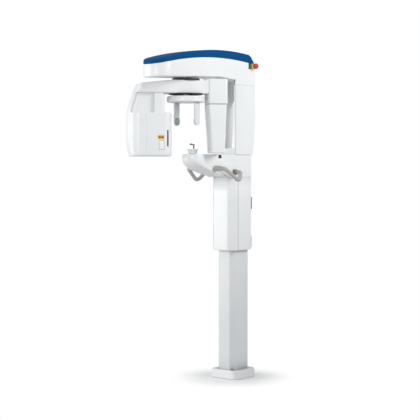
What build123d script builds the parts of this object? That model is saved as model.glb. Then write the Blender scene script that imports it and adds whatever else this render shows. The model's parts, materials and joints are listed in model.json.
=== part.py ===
from build123d import *
import os

os.makedirs("parts", exist_ok=True)

# A floor-standing panoramic x-ray machine, in millimetres. +Z is up, the patient
# stands on the -Y side and the wall is behind, on the +Y side. The origin is the
# centre of the four floor anchors, on the floor.

# ---- driving dimensions ---------------------------------------------------------

# fixed column: a C-shaped profile, open at the rear
column_half = 74.0
column_front = -80.0
column_rear = 86.0
column_wall = 5.0
column_chamfer = 30.0
column_top = 1250.0
column_slot_half = 50.0

# foot
floor_plate_thick = 12.0
anchor_half_x = 90.0
anchor_half_y = 70.0
anchor_hole_r = 7.0
base_half = 115.0
base_front = -97.0
base_rear = 133.0
base_height = 60.0
base_corner = 40.0
base_wall = 4.0

# wall bracket
wall_face = 135.0
bracket_low = 1155.0
bracket_high = 1240.0
bracket_half = 70.0
wall_hole_r = 4.5
wall_hole_half_x = 60.0
wall_hole_half_z = 27.0

# carriage levels at rest, each counted from the one below
cover_bottom = 880.0
cover_height = 498.0
shelf_height = 152.0
sill_height = 42.0
window_height = 331.0
lintel_height = 97.0

# carriage widths and depths
cover_half = 102.0
cover_front = -120.0
cover_chamfer = 42.0
cover_seam = -54.0
cover_wall = 3.0
spine_lip = 1.0
spine_front = -85.0
spine_rear_low = 103.0
spine_rear = 130.0
spine_wall = 4.0
jamb_thick = 15.0
recess_y = 50.0
side_plate_thick = 8.0

# lift
lift_down = 630.0
stage_length = 550.0
outer_tube_r = 30.0
middle_tube_r = 24.0
inner_tube_r = 18.0
tube_wall = 3.0
rail_width = 15.0
rail_depth = 8.0
mast_half = 47.0

# overhead arm
axis_reach = 478.0
nose_reach = 357.0
arm_rise_front = 12.0
arm_rise_rear = 42.0
arm_step = 30.0
cap_level_front = 92.0
cap_level_mid = 168.0
cap_level_rear = 147.0
cap_rise_front = 26.0
cap_rise_mid = 55.0
cap_rise_rear = 65.0
cap_slope = 56.0
arm_wall = 4.0
beam_level = 48.0
beam_height = 40.0
beam_thick = 12.0

# rotation unit
rotation_slide_range = 10.0
shaft_r = 50.0
shaft_bore_r = 42.0
post_r = 25.0
bearing_r = 65.0
big_pulley_r = 75.0
small_pulley_r = 16.0
pulley_spacing = 130.0
belt_thick = 2.0
collar_r = 90.0
collar_height = 14.0

# rotating C-arm, drawn with the sensor end on local +X
rest_angle = 55.0
c_gap = 4.0
c_fall_tube = 23.0
c_rise_sensor = 12.0
c_depth = 86.0
tube_end_centre = 302.0
tube_end_r = 95.0
sensor_half = 64.0
sensor_in = 139.0
sensor_out = 269.0
sensor_above_shelf = 6.0
sensor_upper_height = 164.0
sensor_taper_in = 19.0
sensor_taper_out = 12.0
tube_below_shelf = 16.0
tube_height = 282.0
tube_in = 105.0
tube_corner = 58.0
band_half = 51.0
band_thick = 28.0
shell = 4.0

# head support
support_r = 124.0
support_height = 39.0
support_gap = 17.0
blade_reach = 88.0
blade_length = 150.0
blade_width = 50.0
blade_thick = 12.0

# shelf
nose_half = 80.0
shelf_tip_ahead = -4.0
shelf_tip_height = 30.0
shelf_waist_half = 72.0
shelf_waist_behind = 128.0
shelf_shoulder_behind = 288.0
shelf_wall = 4.0

# handles
handle_r = 14.0
handle_bend_r = 34.0
handle_cone_r = 26.0
handle_cone_tip_r = 17.0

# fits
running_gap = 0.1
slide_gap = 0.3
panel_gap = 1.0
trim_gap = 3.0

# ---- levels and places worked out from the values above --------------------------

hull_low = cover_bottom + cover_height
shelf_top = hull_low + shelf_height
window_low = shelf_top + sill_height
window_high = window_low + window_height
spine_top = window_high + lintel_height
arm_low_front = spine_top + arm_rise_front
arm_low_rear = spine_top + arm_rise_rear
cap_low_front = spine_top + cap_level_front
cap_low_mid = spine_top + cap_level_mid
cap_low_rear = spine_top + cap_level_rear
beam_low = spine_top + beam_level
beam_high = beam_low + beam_height
c_top = arm_low_front - c_gap
c_top_tube = c_top - c_fall_tube
c_top_sensor = c_top + c_rise_sensor
c_beam_low = c_top - c_depth
support_high = c_beam_low - support_gap
support_low = support_high - support_height
blade_low = support_low - blade_length
sensor_low = shelf_top + sensor_above_shelf
sensor_split = c_top_sensor - sensor_upper_height
tube_low = shelf_top - tube_below_shelf
tube_high = tube_low + tube_height
hull_tip = shelf_top - shelf_tip_height
axis_y = -axis_reach
nose_tip = axis_y - nose_reach
shelf_tip = axis_y - shelf_tip_ahead
shelf_waist_y = axis_y + shelf_waist_behind
shelf_shoulder_y = axis_y + shelf_shoulder_behind
spine_half = cover_half + spine_lip
window_half = spine_half - jamb_thick
plate_out = cover_half - cover_wall
plate_in = plate_out - side_plate_thick
column_inner = column_half - column_wall
beam_in = plate_in - beam_thick
support_y = axis_y + 8.0
motor_y = axis_y + pulley_spacing


# ---- shared shapes --------------------------------------------------------------

def block(x0, x1, y0, y1, z0, z1):
    """A box between two corners."""
    return Pos((x0 + x1) / 2, (y0 + y1) / 2, (z0 + z1) / 2) * Box(x1 - x0, y1 - y0, z1 - z0)


def disc(radius, z0, z1, x=0.0, y=0.0):
    """An upright cylinder between two levels."""
    return Pos(x, y, (z0 + z1) / 2) * Cylinder(radius, z1 - z0)


def ring(outer, inner, z0, z1, x=0.0, y=0.0):
    """An upright tube between two levels."""
    return disc(outer, z0, z1, x, y) - disc(inner, z0 - 1, z1 + 1, x, y)


def rod_x(radius, x0, x1, y, z):
    """A round bar along X."""
    return Pos((x0 + x1) / 2, y, z) * Rot(0, 90, 0) * Cylinder(radius, x1 - x0)


def side_profile(face, half):
    """A face drawn in Y and Z, made a solid from -half to +half in X."""
    return extrude(Plane.YZ.offset(-half) * face, 2 * half)


def side_slab(face, x0, x1):
    """A face drawn in Y and Z, made a solid between two X values."""
    return extrude(Plane.YZ.offset(x0) * face, x1 - x0)


def upright(face, z0, z1):
    """A face drawn in X and Y, made a solid between two levels."""
    return extrude(Pos(0, 0, z0) * face, z1 - z0)


def polygon(*points):
    """A straight-sided face."""
    return make_face(Polyline(*points, close=True))


def slot_plan(half, tip, rear):
    """A plan outline with a half-round front and a square rear."""
    centre = tip + half
    body = Pos(0, (centre + rear) / 2) * Rectangle(2 * half, rear - centre)
    return body + Pos(0, centre) * Circle(half)


def chamfered_plan(half, front, rear, cut):
    """A rectangle with its two front corners cut off."""
    return polygon(
        (-half, rear),
        (-half, front + cut),
        (-half + cut, front),
        (half - cut, front),
        (half, front + cut),
        (half, rear),
    )


def both_sides(shape):
    """A piece and its mirror image on the other side."""
    return shape + mirror(shape, Plane.YZ)


def c_arm_place(shape):
    """Turns a C-arm piece from its own axes to its rest direction."""
    return Pos(0, axis_y, 0) * Rot(0, 0, rest_angle) * shape


# ---- fixed column ---------------------------------------------------------------

def make_floor_plate():
    size = 2 * base_half - 20
    middle = (base_rear + base_front) / 2
    plate = upright(Pos(0, middle) * RectangleRounded(size, size, base_corner), 0, floor_plate_thick)
    for x in (-anchor_half_x, anchor_half_x):
        for y in (-anchor_half_y, anchor_half_y):
            plate -= disc(anchor_hole_r, -1, floor_plate_thick + 1, x, y)
    return plate


def make_column_feet():
    """Steel angles that hold the column to the floor plate."""
    foot_end = anchor_half_y - 25
    z0 = floor_plate_thick
    wall = block(column_half, column_half + 6, -foot_end, foot_end, z0, z0 + 36)
    flange = block(column_half + 6, column_half + 30, -foot_end, foot_end, z0, z0 + 6)
    return both_sides(wall + flange)


def make_base_cover():
    size = 2 * base_half
    depth = base_rear - base_front
    middle = (base_rear + base_front) / 2
    outer = upright(Pos(0, middle) * RectangleRounded(size, depth, base_corner), 0, base_height)
    outer = fillet(outer.faces().sort_by(Axis.Z)[-1].edges(), 8)
    inner_plan = Pos(0, middle) * RectangleRounded(
        size - 2 * base_wall, depth - 2 * base_wall, base_corner - base_wall
    )
    inner = upright(inner_plan, -1, base_height - base_wall)
    hole = chamfered_plan(
        column_half + panel_gap, column_front - panel_gap, column_rear + panel_gap, column_chamfer
    )
    return outer - inner - upright(hole, base_height - 20, base_height + 1)


def make_column():
    """C-shaped column: outline, less its inside, less the rear slot."""
    outer = chamfered_plan(column_half, column_front, column_rear, column_chamfer)
    inner = chamfered_plan(
        column_inner,
        column_front + column_wall,
        column_rear - column_wall,
        column_chamfer - column_wall * 0.4,
    )
    profile = upright(outer, floor_plate_thick, column_top)
    profile -= upright(inner, floor_plate_thick - 1, column_top + 1)
    slot = block(
        -column_slot_half,
        column_slot_half,
        column_rear - column_wall - 1,
        column_rear + 1,
        floor_plate_thick - 1,
        column_top + 1,
    )
    return profile - slot


rail_y = 38.0
rail_low = 250.0
rail_high = column_top - 10.0


def make_guide_rail(side):
    x0 = column_inner - rail_depth
    rail = block(x0, column_inner, rail_y - rail_width / 2, rail_y + rail_width / 2, rail_low, rail_high)
    return rail if side > 0 else mirror(rail, Plane.YZ)


def make_wall_bracket():
    """Two feet on the column's rear edges, two webs and a flange on the wall."""
    foot = block(column_slot_half + 2, column_half - 2, column_rear, column_rear + 5,
                 bracket_low, bracket_high)
    web = block(column_slot_half + 2, column_slot_half + 8, column_rear + 5, wall_face - 5,
                bracket_low, bracket_high)
    flange = block(-bracket_half, bracket_half, wall_face - 5, wall_face, bracket_low, bracket_high)
    middle = (bracket_low + bracket_high) / 2
    for x in (-wall_hole_half_x, wall_hole_half_x):
        for z in (middle - wall_hole_half_z, middle + wall_hole_half_z):
            flange -= Pos(x, wall_face, z) * Rot(90, 0, 0) * Cylinder(wall_hole_r, 30)
    window = block(-40, 40, wall_face - 6, wall_face + 1, bracket_low + 18, bracket_high - 18)
    return both_sides(foot + web) + (flange - window)


motor_top = 110.0
stage_gap = 4.0
outer_tube_top = motor_top + stage_length - 40.0
tube_y = -20.0


def make_lift_motor():
    housing = block(-36, 36, tube_y - 40, tube_y + 40, floor_plate_thick, motor_top)
    return chamfer(housing.edges().filter_by(Axis.Z), 6)


def make_outer_tube():
    return ring(outer_tube_r, outer_tube_r - tube_wall, motor_top, outer_tube_top, 0, tube_y)


def make_middle_tube():
    """Second stage; at rest it stands out by its half share of the travel."""
    low = motor_top + stage_gap + lift_down / 2
    r = middle_tube_r
    stage = ring(r, r - tube_wall, low, low + stage_length, 0, tube_y)
    guide_r = outer_tube_r - tube_wall - slide_gap
    return stage + ring(guide_r, r - tube_wall, low, low + 30, 0, tube_y)


rod_top = motor_top + 2 * stage_gap + lift_down + stage_length


def make_inner_tube():
    low = rod_top - stage_length
    r = inner_tube_r
    stage = ring(r, r - tube_wall, low, rod_top, 0, tube_y)
    guide_r = middle_tube_r - tube_wall - slide_gap
    return stage + ring(guide_r, r - tube_wall, low, low + 25, 0, tube_y)


inlet_low = 90.0


def make_inlet_plate():
    """Plate across the foot of the column's rear slot, with a hole for the inlet."""
    plate = block(-62, 62, column_rear, column_rear + 3, inlet_low, inlet_low + 100)
    return plate - block(-14, 14, column_rear - 1, column_rear + 4, inlet_low + 38, inlet_low + 58)


def make_mains_inlet():
    """Three-pin power inlet, open to the rear."""
    flange = block(-18, 18, column_rear + 3, column_rear + 6, inlet_low + 33, inlet_low + 63)
    body = block(-14 + slide_gap, 14 - slide_gap, column_rear - 25, column_rear + 3,
                 inlet_low + 38 + slide_gap, inlet_low + 58 - slide_gap)
    cup = block(-11, 11, column_rear - 12, column_rear + 7, inlet_low + 41, inlet_low + 55)
    inlet = flange + body - cup
    for x in (-6, 0, 6):
        inlet += block(x - 1, x + 1, column_rear - 13, column_rear + 1, inlet_low + 46, inlet_low + 50)
    return inlet


# ---- carriage: mast, plates and guides -----------------------------------------

mast_low = cover_bottom + 15.0
mast_rear = 70.0
mast_front = 22.0
neck_high = cover_bottom + 80.0


def make_mast():
    """C-section inside the column, its neck through the slot, and the rod's shelf."""
    back = block(-mast_half, mast_half, mast_rear - 8, mast_rear, mast_low, rod_top + 10)
    flange = block(mast_half - 6, mast_half, mast_front, mast_rear - 8, mast_low, rod_top + 10)
    neck = block(-40, 40, mast_rear, column_rear + 2, mast_low + 5, neck_high)
    shelf = block(-40, 40, tube_y - 24, mast_rear - 8, rod_top, rod_top + 10)
    return back + both_sides(flange) + neck + shelf


def make_runner_blocks():
    """Four guide blocks on the mast, each grooved to run on its rail."""
    blocks = []
    outer = column_inner - 2
    groove_x = column_inner - rail_depth - slide_gap
    groove_half = rail_width / 2 + slide_gap
    for z in (mast_low + 15, mast_low + 115):
        body = block(mast_half, outer, rail_y - 17, rail_y + 17, z, z + 60)
        groove = block(groove_x, outer + 1, rail_y - groove_half, rail_y + groove_half, z - 1, z + 61)
        runner = body - groove
        blocks.append(runner)
        blocks.append(mirror(runner, Plane.YZ))
    return Compound(children=blocks)


def make_cross_plate():
    """Joins the mast's neck to both side plates, behind the column."""
    return block(-plate_in, plate_in, column_rear + 2, column_rear + 7, mast_low, neck_high)


plate_top = beam_high + 22.0


def make_side_plate(side):
    """Main steel plate of the carriage, from the cover's bottom up into the arm."""
    face = polygon(
        (-60, mast_low),
        (column_rear + 7, mast_low),
        (column_rear + 7, neck_high + 10),
        (column_rear - 6, neck_high + 30),
        (column_rear - 6, shelf_top),
        (spine_rear_low - 10, shelf_top + 40),
        (spine_rear - 12, window_high - 70),
        (spine_rear - 12, plate_top),
        (spine_front + spine_wall + 3, plate_top),
        (spine_front + spine_wall + 3, shelf_top),
        (-60, shelf_top - 60),
    )
    plate = side_slab(face, plate_in, plate_out)
    for z in (cover_bottom + 220, cover_bottom + 340):
        plate -= side_slab(Pos(10, z) * RectangleRounded(70, 90, 12), plate_in - 1, plate_out + 1)
    return plate if side > 0 else mirror(plate, Plane.YZ)


def make_head_deck():
    """Steel deck above the window that carries the electronics."""
    return block(-plate_in, plate_in, recess_y + 8, spine_rear - 14, window_high + 6, window_high + 12)


def make_power_supply():
    deck = window_high + 12
    front = recess_y + 12
    case = block(-78, 20, front, spine_rear - 18, deck, deck + 62)
    for i in range(4):
        y = front + 6 + 10 * i
        case -= block(-79, -76, y, y + 5, deck + 14, deck + 48)
    return case


def make_control_board():
    """Upright circuit board on a foot, with three components on its face."""
    deck = window_high + 12
    face = spine_rear - 38
    board = block(28, 86, face, face + 2, deck + 4, deck + 72)
    board += block(30, 84, face + 2, face + 14, deck, deck + 10)
    board += block(36, 58, face - 8, face, deck + 14, deck + 38)
    board += block(62, 80, face - 5, face, deck + 20, deck + 34)
    board += block(40, 76, face - 6, face, deck + 48, deck + 64)
    return board


# ---- carriage: covers -----------------------------------------------------------

def cover_shell():
    outer = chamfered_plan(cover_half, cover_front, column_rear, cover_chamfer)
    inner = chamfered_plan(
        plate_out, cover_front + cover_wall, column_rear + 1, cover_chamfer - cover_wall * 0.4
    )
    return upright(outer - inner, cover_bottom, hull_low)


def make_cover_front():
    return cover_shell() & block(-200, 200, -200, cover_seam, cover_bottom, hull_low)


def make_cover_side(side):
    x0 = 0 if side > 0 else -200
    x1 = 200 if side > 0 else 0
    return cover_shell() & block(x0, x1, cover_seam, 200, cover_bottom, hull_low)


def make_bottom_trim():
    """Dark strip that closes the gap between the cover's foot and the column."""
    outer = chamfered_plan(
        plate_out, cover_front + cover_wall, column_rear - 8, cover_chamfer - cover_wall * 0.4
    )
    inner = chamfered_plan(
        column_half + panel_gap, column_front - panel_gap, column_rear + 1, column_chamfer
    )
    return upright(outer - inner, cover_bottom + 2, cover_bottom + 6)


def spine_shell(z0, z1, half, front, wall):
    """Front and two sides of the spine, with the rear edge leaning back as it rises."""
    ends = make_face(
        Curve() + [
            Polyline((spine_rear_low, shelf_top), (front, shelf_top), (front, spine_top),
                     (spine_rear, spine_top), (spine_rear, window_high - 73)),
            ThreePointArc((spine_rear, window_high - 73), (spine_rear - 8, shelf_top + 140),
                          (spine_rear_low, shelf_top)),
        ]
    )
    body = side_profile(ends, half)
    body = fillet(body.edges().filter_by(Axis.Z).sort_by(Axis.Y)[0:2], 10)
    hollow = block(-half + wall, half - wall, front + wall, 300, shelf_top - 1, spine_top + 1)
    return (body - hollow) & block(-300, 300, -300, 300, z0, z1)


def window_cut():
    """Front opening of the spine: round at its foot, open up to the arm."""
    height = spine_top - window_low + 40
    face = Pos(0, window_low + height / 2) * RectangleRounded(2 * window_half, height, 14)
    return extrude(Plane.XZ.offset(-spine_front - 60) * face, 120)


def make_spine_cover():
    shell_ = spine_shell(shelf_top, spine_top, spine_half, spine_front, spine_wall)
    return shell_ - window_cut()


def make_window_liner(side):
    """Thin inner cheek of the window, over the side plate."""
    face = polygon(
        (spine_front + spine_wall, window_low - 20),
        (spine_rear_low - 10, window_low - 20),
        (spine_rear - 12, window_high - 70),
        (spine_rear - 12, window_high + 4),
        (recess_y + spine_wall, window_high + 4),
        (recess_y + spine_wall, spine_top),
        (spine_front + spine_wall, spine_top),
    )
    liner = side_slab(face, window_half - 1, plate_in)
    return liner if side > 0 else mirror(liner, Plane.YZ)


def make_rear_cover():
    """Closes the head above the window: its back, its underside and its set-back front."""
    inner = spine_half - spine_wall
    back = block(-inner, inner, spine_rear - 4, spine_rear, window_high, spine_top)
    ledge = window_half - 1
    foot = block(-ledge, ledge, recess_y, spine_rear - 4, window_high, window_high + 4)
    front = block(-ledge, ledge, recess_y, recess_y + 4, window_high, spine_top)
    for x in range(-60, 61, 12):
        back -= block(x - 3, x + 3, spine_rear - 5, spine_rear + 1, window_high + 30, window_high + 75)
    return back + foot + front


# ---- shelf ----------------------------------------------------------------------

def shelf_flank(y):
    """Half-width of the shelf between its waist and its shoulder."""
    share = (y - shelf_waist_y) / (shelf_shoulder_y - shelf_waist_y)
    return shelf_waist_half + share * (cover_half - shelf_waist_half)


def shelf_body(inset):
    """Shelf outline in plan, cut to the hull's curved side profile."""
    top = shelf_top - inset if inset else shelf_top
    nose = Pos(0, shelf_tip + nose_half) * Circle(nose_half - inset)
    flanks = polygon(
        (-shelf_waist_half + inset, shelf_tip + nose_half),
        (-shelf_waist_half + inset, shelf_waist_y),
        (-cover_half + inset, shelf_shoulder_y),
        (-cover_half + inset, column_rear),
        (cover_half - inset, column_rear),
        (cover_half - inset, shelf_shoulder_y),
        (shelf_waist_half - inset, shelf_waist_y),
        (shelf_waist_half - inset, shelf_tip + nose_half),
    )
    body = upright(flanks + nose, hull_low - 5, top)
    tip = shelf_tip - 1
    side = make_face(
        Curve() + [
            Polyline((cover_front - 10, hull_low + inset), (spine_rear_low + 60, hull_low + inset),
                     (spine_rear_low + 60, top), (tip, top), (tip, hull_tip)),
            ThreePointArc((tip, hull_tip), (shelf_tip + 130, hull_low + 32 + inset),
                          (cover_front - 10, hull_low + inset)),
        ]
    )
    return body & side_profile(side, 200)


def make_shelf_cover():
    """Hollow shelf shell, open over the column and at the back."""
    shell_ = shelf_body(0) - shelf_body(shelf_wall)
    bay = block(-plate_out, plate_out, spine_front + spine_wall, column_rear + 30,
                hull_low - 10, shelf_top + 1)
    throat = upright(
        chamfered_plan(plate_out, cover_front + cover_wall, 0, cover_chamfer), hull_low - 10, hull_low + 8
    )
    post_hole = disc(chin_post_r, shelf_top - 10, shelf_top + 1, 0, chin_y)
    mount = handle_path()[0]
    cone_hole = rod_x(handle_cone_r + slide_gap, cone_base_x - 1, cover_half + 20, mount[1], mount[2])
    return shell_ - bay - throat - post_hole - bezel_outline() - both_sides(cone_hole)


shelf_frame_low = shelf_top - 32.0
shelf_frame_high = shelf_top - 24.0


def make_shelf_frame():
    """Aluminium tray from the side plates out to the chin rest."""
    half = shelf_waist_half - 12
    tray = block(-half, half, shelf_tip + 60, column_front - 5, shelf_frame_low, shelf_frame_high)
    ear = block(half, plate_in, column_front - 40, -50, shelf_frame_low - 60, shelf_frame_high)
    ear -= block(half - 1, plate_in - 6, column_front - 5, -49, shelf_frame_low - 61, shelf_frame_high + 1)
    return tray + both_sides(ear)


chin_y = axis_y + 66.0
chin_post_r = 10.0
chin_block_high = shelf_top + 26.0


def make_chin_post():
    return disc(chin_post_r, shelf_frame_high, shelf_top + 4, 0, chin_y)


def make_chin_block():
    """Round-cornered block that holds the chin plate and the bite piece."""
    base = Pos(0, chin_y, shelf_top + 15) * Box(44, 50, 22)
    base = fillet(base.edges().filter_by(Axis.Z), 12)
    socket_ = disc(4 + slide_gap, shelf_top + 8, shelf_top + 40, 0, chin_y + 12)
    return base - socket_


def make_chin_plate():
    """Chin plate: a shallow dished tray with a raised front lip."""
    z0 = chin_block_high
    tray = Pos(0, chin_y - 6, z0 + 4) * Box(62, 60, 8)
    tray = fillet(tray.edges().filter_by(Axis.Z), 18)
    dish = Pos(0, chin_y - 10, z0 + 8 + 52) * Sphere(56)
    return tray - dish - disc(4 + slide_gap, z0 - 1, z0 + 20, 0, chin_y + 12)


def make_bite_fork():
    """Bite piece: an upright stem that leans forward to a grooved tip."""
    foot_y = chin_y + 12
    stem = disc(4, shelf_top + 10, shelf_top + 62, 0, foot_y)
    arm = Pos(0, foot_y - 10, shelf_top + 63) * Box(8, 30, 5)
    tip = Pos(0, foot_y - 26, shelf_top + 65) * Box(18, 12, 9)
    tip = fillet(tip.edges().filter_by(Axis.Z), 4)
    groove = Pos(0, foot_y - 26, shelf_top + 69) * Box(20, 4, 4)
    return stem + arm + tip - groove


def handle_path():
    """Out of the front mount, down and back to the bend, and up to the rear mount."""
    return (
        (cover_half + 36, axis_y + 206, shelf_top - 94),
        (cover_half + 58, axis_y + 206, shelf_top - 94),
        (cover_half + 86, axis_y + 330, shelf_top - 182),
        (cover_half + 52, axis_y + 380, shelf_top - 118),
        (cover_half + 14, axis_y + 380, shelf_top - 118),
    )


cone_base_x = shelf_flank(handle_path()[0][1]) - 8.0


def make_handle(side):
    path = FilletPolyline(*handle_path(), radius=[20, handle_bend_r, 16])
    bar = sweep(Plane(origin=path @ 0, z_dir=path % 0) * Circle(handle_r), path=path)
    return bar if side > 0 else mirror(bar, Plane.YZ)


def make_handle_mounts(side):
    """A cone on the shelf's side and a boss on the column cover."""
    first = Vector(*handle_path()[0])
    last = Vector(*handle_path()[-1])
    length = first.X - cone_base_x
    middle = (first.X + cone_base_x) / 2
    cone = Pos(middle, first.Y, first.Z) * Rot(0, 90, 0) * Cone(handle_cone_r, handle_cone_tip_r, length)
    boss = rod_x(handle_r + 4, cover_half, last.X, last.Y, last.Z)
    return (cone + boss) if side > 0 else mirror(cone + boss, Plane.YZ)


button_y = axis_y + 238.0
button_z = shelf_top - 12.0
button_face = shelf_flank(button_y)


def bezel_outline():
    return block(button_face - 8, button_face + 4, button_y - 14, button_y + 14,
                 button_z - 14, button_z + 8)


def make_button_bezel():
    """Frame in the shelf's right side with a bore for each lift button."""
    bezel = bezel_outline()
    for z in (button_z - 8, button_z + 3):
        bezel -= block(button_face - 9, button_face + 5, button_y - 11, button_y + 11, z - 4.2, z + 4.2)
    return bezel


def make_button(z):
    """A lift button: a low cap with a rounded outline."""
    cap = block(button_face - 6, button_face + 6, button_y - 11 + slide_gap, button_y + 11 - slide_gap,
                z - 4.2 + slide_gap, z + 4.2 - slide_gap)
    return fillet(cap.edges().filter_by(Axis.X), 2.5)


# ---- overhead arm ---------------------------------------------------------------

def arm_side(inset, rise):
    """Arm side profile: a rising underside and the arc that the cap sits on."""
    front = nose_tip - 1
    rear = spine_rear + 1
    low_y = spine_front - 155
    return make_face(
        Curve() + [
            Polyline(
                (front, cap_low_front + rise),
                (front, arm_low_front + inset),
                (low_y, arm_low_rear + inset),
                (spine_front + inset, spine_top + arm_step + inset),
                (spine_front + inset, spine_top - (1 if inset else 0)),
                (rear, spine_top - (1 if inset else 0)),
                (rear, cap_low_rear + rise),
            ),
            ThreePointArc(
                (rear, cap_low_rear + rise), (spine_front - 105, cap_low_mid + rise),
                (front, cap_low_front + rise),
            ),
        ]
    )


def make_arm_cover():
    """Arm shell: sides, round nose and underside; the cap closes its top."""
    outer = upright(slot_plan(spine_half, nose_tip, spine_rear), spine_top - 5, cap_low_mid + 90)
    inner_half = spine_half - arm_wall
    inner = upright(
        slot_plan(inner_half, nose_tip + arm_wall, spine_rear - arm_wall), spine_top - 6, cap_low_mid + 91
    )
    body = outer & side_profile(arm_side(0, 0), 200)
    hollow = inner & side_profile(arm_side(arm_wall, 60), 199)
    hollow -= block(-plate_in, plate_in, spine_front, recess_y + arm_wall, spine_top - 7,
                    spine_top + arm_step + arm_wall)
    notch = block(-window_half, window_half, spine_front - 1, recess_y, spine_top - 7,
                  spine_top + arm_step)
    travel = shaft_r + rotation_slide_range + 4
    shaft_hole = upright(Pos(0, axis_y) * Circle(travel), arm_low_front - 10, beam_low)
    return body - hollow - notch - shaft_hole


def cap_side(drop):
    front = nose_tip - 1
    rear = spine_rear + 1
    mid = spine_front - 105
    return make_face(
        Curve() + [
            ThreePointArc((rear, cap_low_rear), (mid, cap_low_mid), (front, cap_low_front)),
            Line((front, cap_low_front), (front, cap_low_front + cap_rise_front - drop)),
            ThreePointArc(
                (front, cap_low_front + cap_rise_front - drop),
                (mid, cap_low_mid + cap_rise_mid - drop),
                (rear - cap_slope, cap_low_rear + cap_rise_rear - drop),
            ),
            Line((rear - cap_slope, cap_low_rear + cap_rise_rear - drop), (rear, cap_low_rear)),
        ]
    )


def make_top_cap():
    """Domed cap over the whole arm, hollow from below."""
    outer = upright(slot_plan(spine_half, nose_tip, spine_rear), cap_low_front - 5, cap_low_mid + 90)
    inner = upright(
        slot_plan(spine_half - arm_wall, nose_tip + arm_wall, spine_rear - arm_wall - cap_slope),
        cap_low_front - 6, cap_low_mid + 91,
    )
    body = outer & side_profile(cap_side(0), 200)
    hollow = inner & side_profile(cap_side(arm_wall), 199)
    return body - hollow


frame_nose = nose_tip + 120.0
member_front = axis_y - 122.0
member_rear = axis_y + 182.0


def make_arm_frame():
    """Two long beams from the side plates to the nose, and four cross members."""
    beam = block(beam_in, plate_in, frame_nose, spine_rear - 14, beam_low, beam_high)
    frame = both_sides(beam)
    for y in (frame_nose, member_front, member_rear, 40.0):
        frame += block(-beam_in, beam_in, y, y + 10, beam_low, beam_high)
    return frame


rail_top = beam_high + 6.0


def make_slide_rails():
    rail = block(beam_in - 3, beam_in + 5, member_front + 12, member_rear - 2, beam_high, rail_top)
    return both_sides(rail)


bridge_low = rail_top + 32.0


def make_post_bridge():
    """Bridge over the rotation unit that carries the head support's post."""
    top = block(-60, 60, member_front, member_rear + 10, bridge_low, bridge_low + 8)
    front_leg = block(-60, 60, member_front, member_front + 10, beam_high, bridge_low)
    rear_leg = block(-60, 60, member_rear, member_rear + 10, beam_high, bridge_low)
    return top + front_leg + rear_leg


# ---- rotation unit --------------------------------------------------------------

slide_plate_low = rail_top
slide_plate_high = slide_plate_low + 8.0
pulley_low = slide_plate_high + 2.0
pulley_high = pulley_low + 12.0


def make_slide_plate():
    """Plate on the rails with a bearing housing below it."""
    half = beam_in + 4.0
    plate = block(-half, half, axis_y - 92, motor_y + 40, slide_plate_low, slide_plate_high)
    housing = disc(bearing_r + 8, beam_low - 6, slide_plate_low, 0, axis_y)
    bore = disc(bearing_r, beam_low - 7, slide_plate_high - 4, 0, axis_y)
    through = disc(shaft_r + 1, beam_low - 7, slide_plate_high + 1, 0, axis_y)
    motor_hole = disc(9, slide_plate_low - 1, slide_plate_high + 1, 0, motor_y)
    return plate + housing - bore - through - motor_hole


def make_rotation_bearings():
    """Two ball bearings in the housing, one above the other."""
    low = ring(bearing_r, shaft_r + running_gap, beam_low - 4, beam_low + 12, 0, axis_y)
    high = ring(bearing_r, shaft_r + running_gap, slide_plate_low - 12, slide_plate_low + 4, 0, axis_y)
    return Compound(children=[low, high])


def make_rotation_motor():
    body = disc(27, beam_low - 3, slide_plate_low, 0, motor_y)
    shaft = disc(6, slide_plate_low, slide_plate_high + 1, 0, motor_y)
    return body + shaft


def belt_outline(extra):
    """Both pulley circles and the straight tangents between them."""
    big = Pos(0, axis_y) * Circle(big_pulley_r + extra)
    small = Pos(0, motor_y) * Circle(small_pulley_r + extra)
    return make_hull(big.edges() + small.edges())


def make_drive_belt():
    loop = belt_outline(belt_thick + slide_gap) - belt_outline(slide_gap)
    return upright(loop, pulley_low + 1.5, pulley_high - 1.5)


def make_motor_pulley():
    """Toothed pulley of the motor, with a flange above and below the belt."""
    pulley = disc(small_pulley_r, pulley_low, pulley_high, 0, motor_y)
    for i in range(12):
        notch = Pos(0, motor_y, (pulley_low + pulley_high) / 2) * Rot(0, 0, 30 * i)
        pulley -= notch * Pos(small_pulley_r, 0, 0) * Box(2.4, 3, 9)
    return pulley


# ---- C-arm ----------------------------------------------------------------------

def c_arm_plan(r_end, half_end, half_sensor, sensor_end):
    """Plan of the C-arm: round tube end, sides drawn in towards the sensor end."""
    centre = -tube_end_centre
    flanks = polygon(
        (centre, -half_end),
        (-140, -half_end),
        (sensor_in - 40, -half_sensor),
        (sensor_end, -half_sensor),
        (sensor_end, half_sensor),
        (sensor_in - 40, half_sensor),
        (-140, half_end),
        (centre, half_end),
    )
    return flanks + Pos(centre, 0) * Circle(r_end)


def tip_arc(inset):
    """Outer end of the C-arm seen from the side: one bowed line, top to bottom."""
    tip = tube_end_centre + tube_end_r - inset
    return (-(tip - 84), c_top_tube), (-tip, (tube_low + tube_high) / 2 + 19), (-(tip - 27), tube_low)


def xz(face, half):
    """A face drawn in local X and Z, made a solid from -half to +half across."""
    return extrude(Plane.XZ.offset(-half) * face, 2 * half)


def tip_side(inset, r_inner, z0, z1):
    """The region between the bowed outer line and a straight inner line."""
    top, mid, low = tip_arc(inset)
    face = make_face(
        Curve() + [
            ThreePointArc(top, mid, low),
            Polyline(low, (-r_inner, tube_low), (-r_inner, c_top_tube), top),
        ]
    )
    return xz(face, 150) & block(-600, 600, -300, 300, z0, z1)


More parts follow.
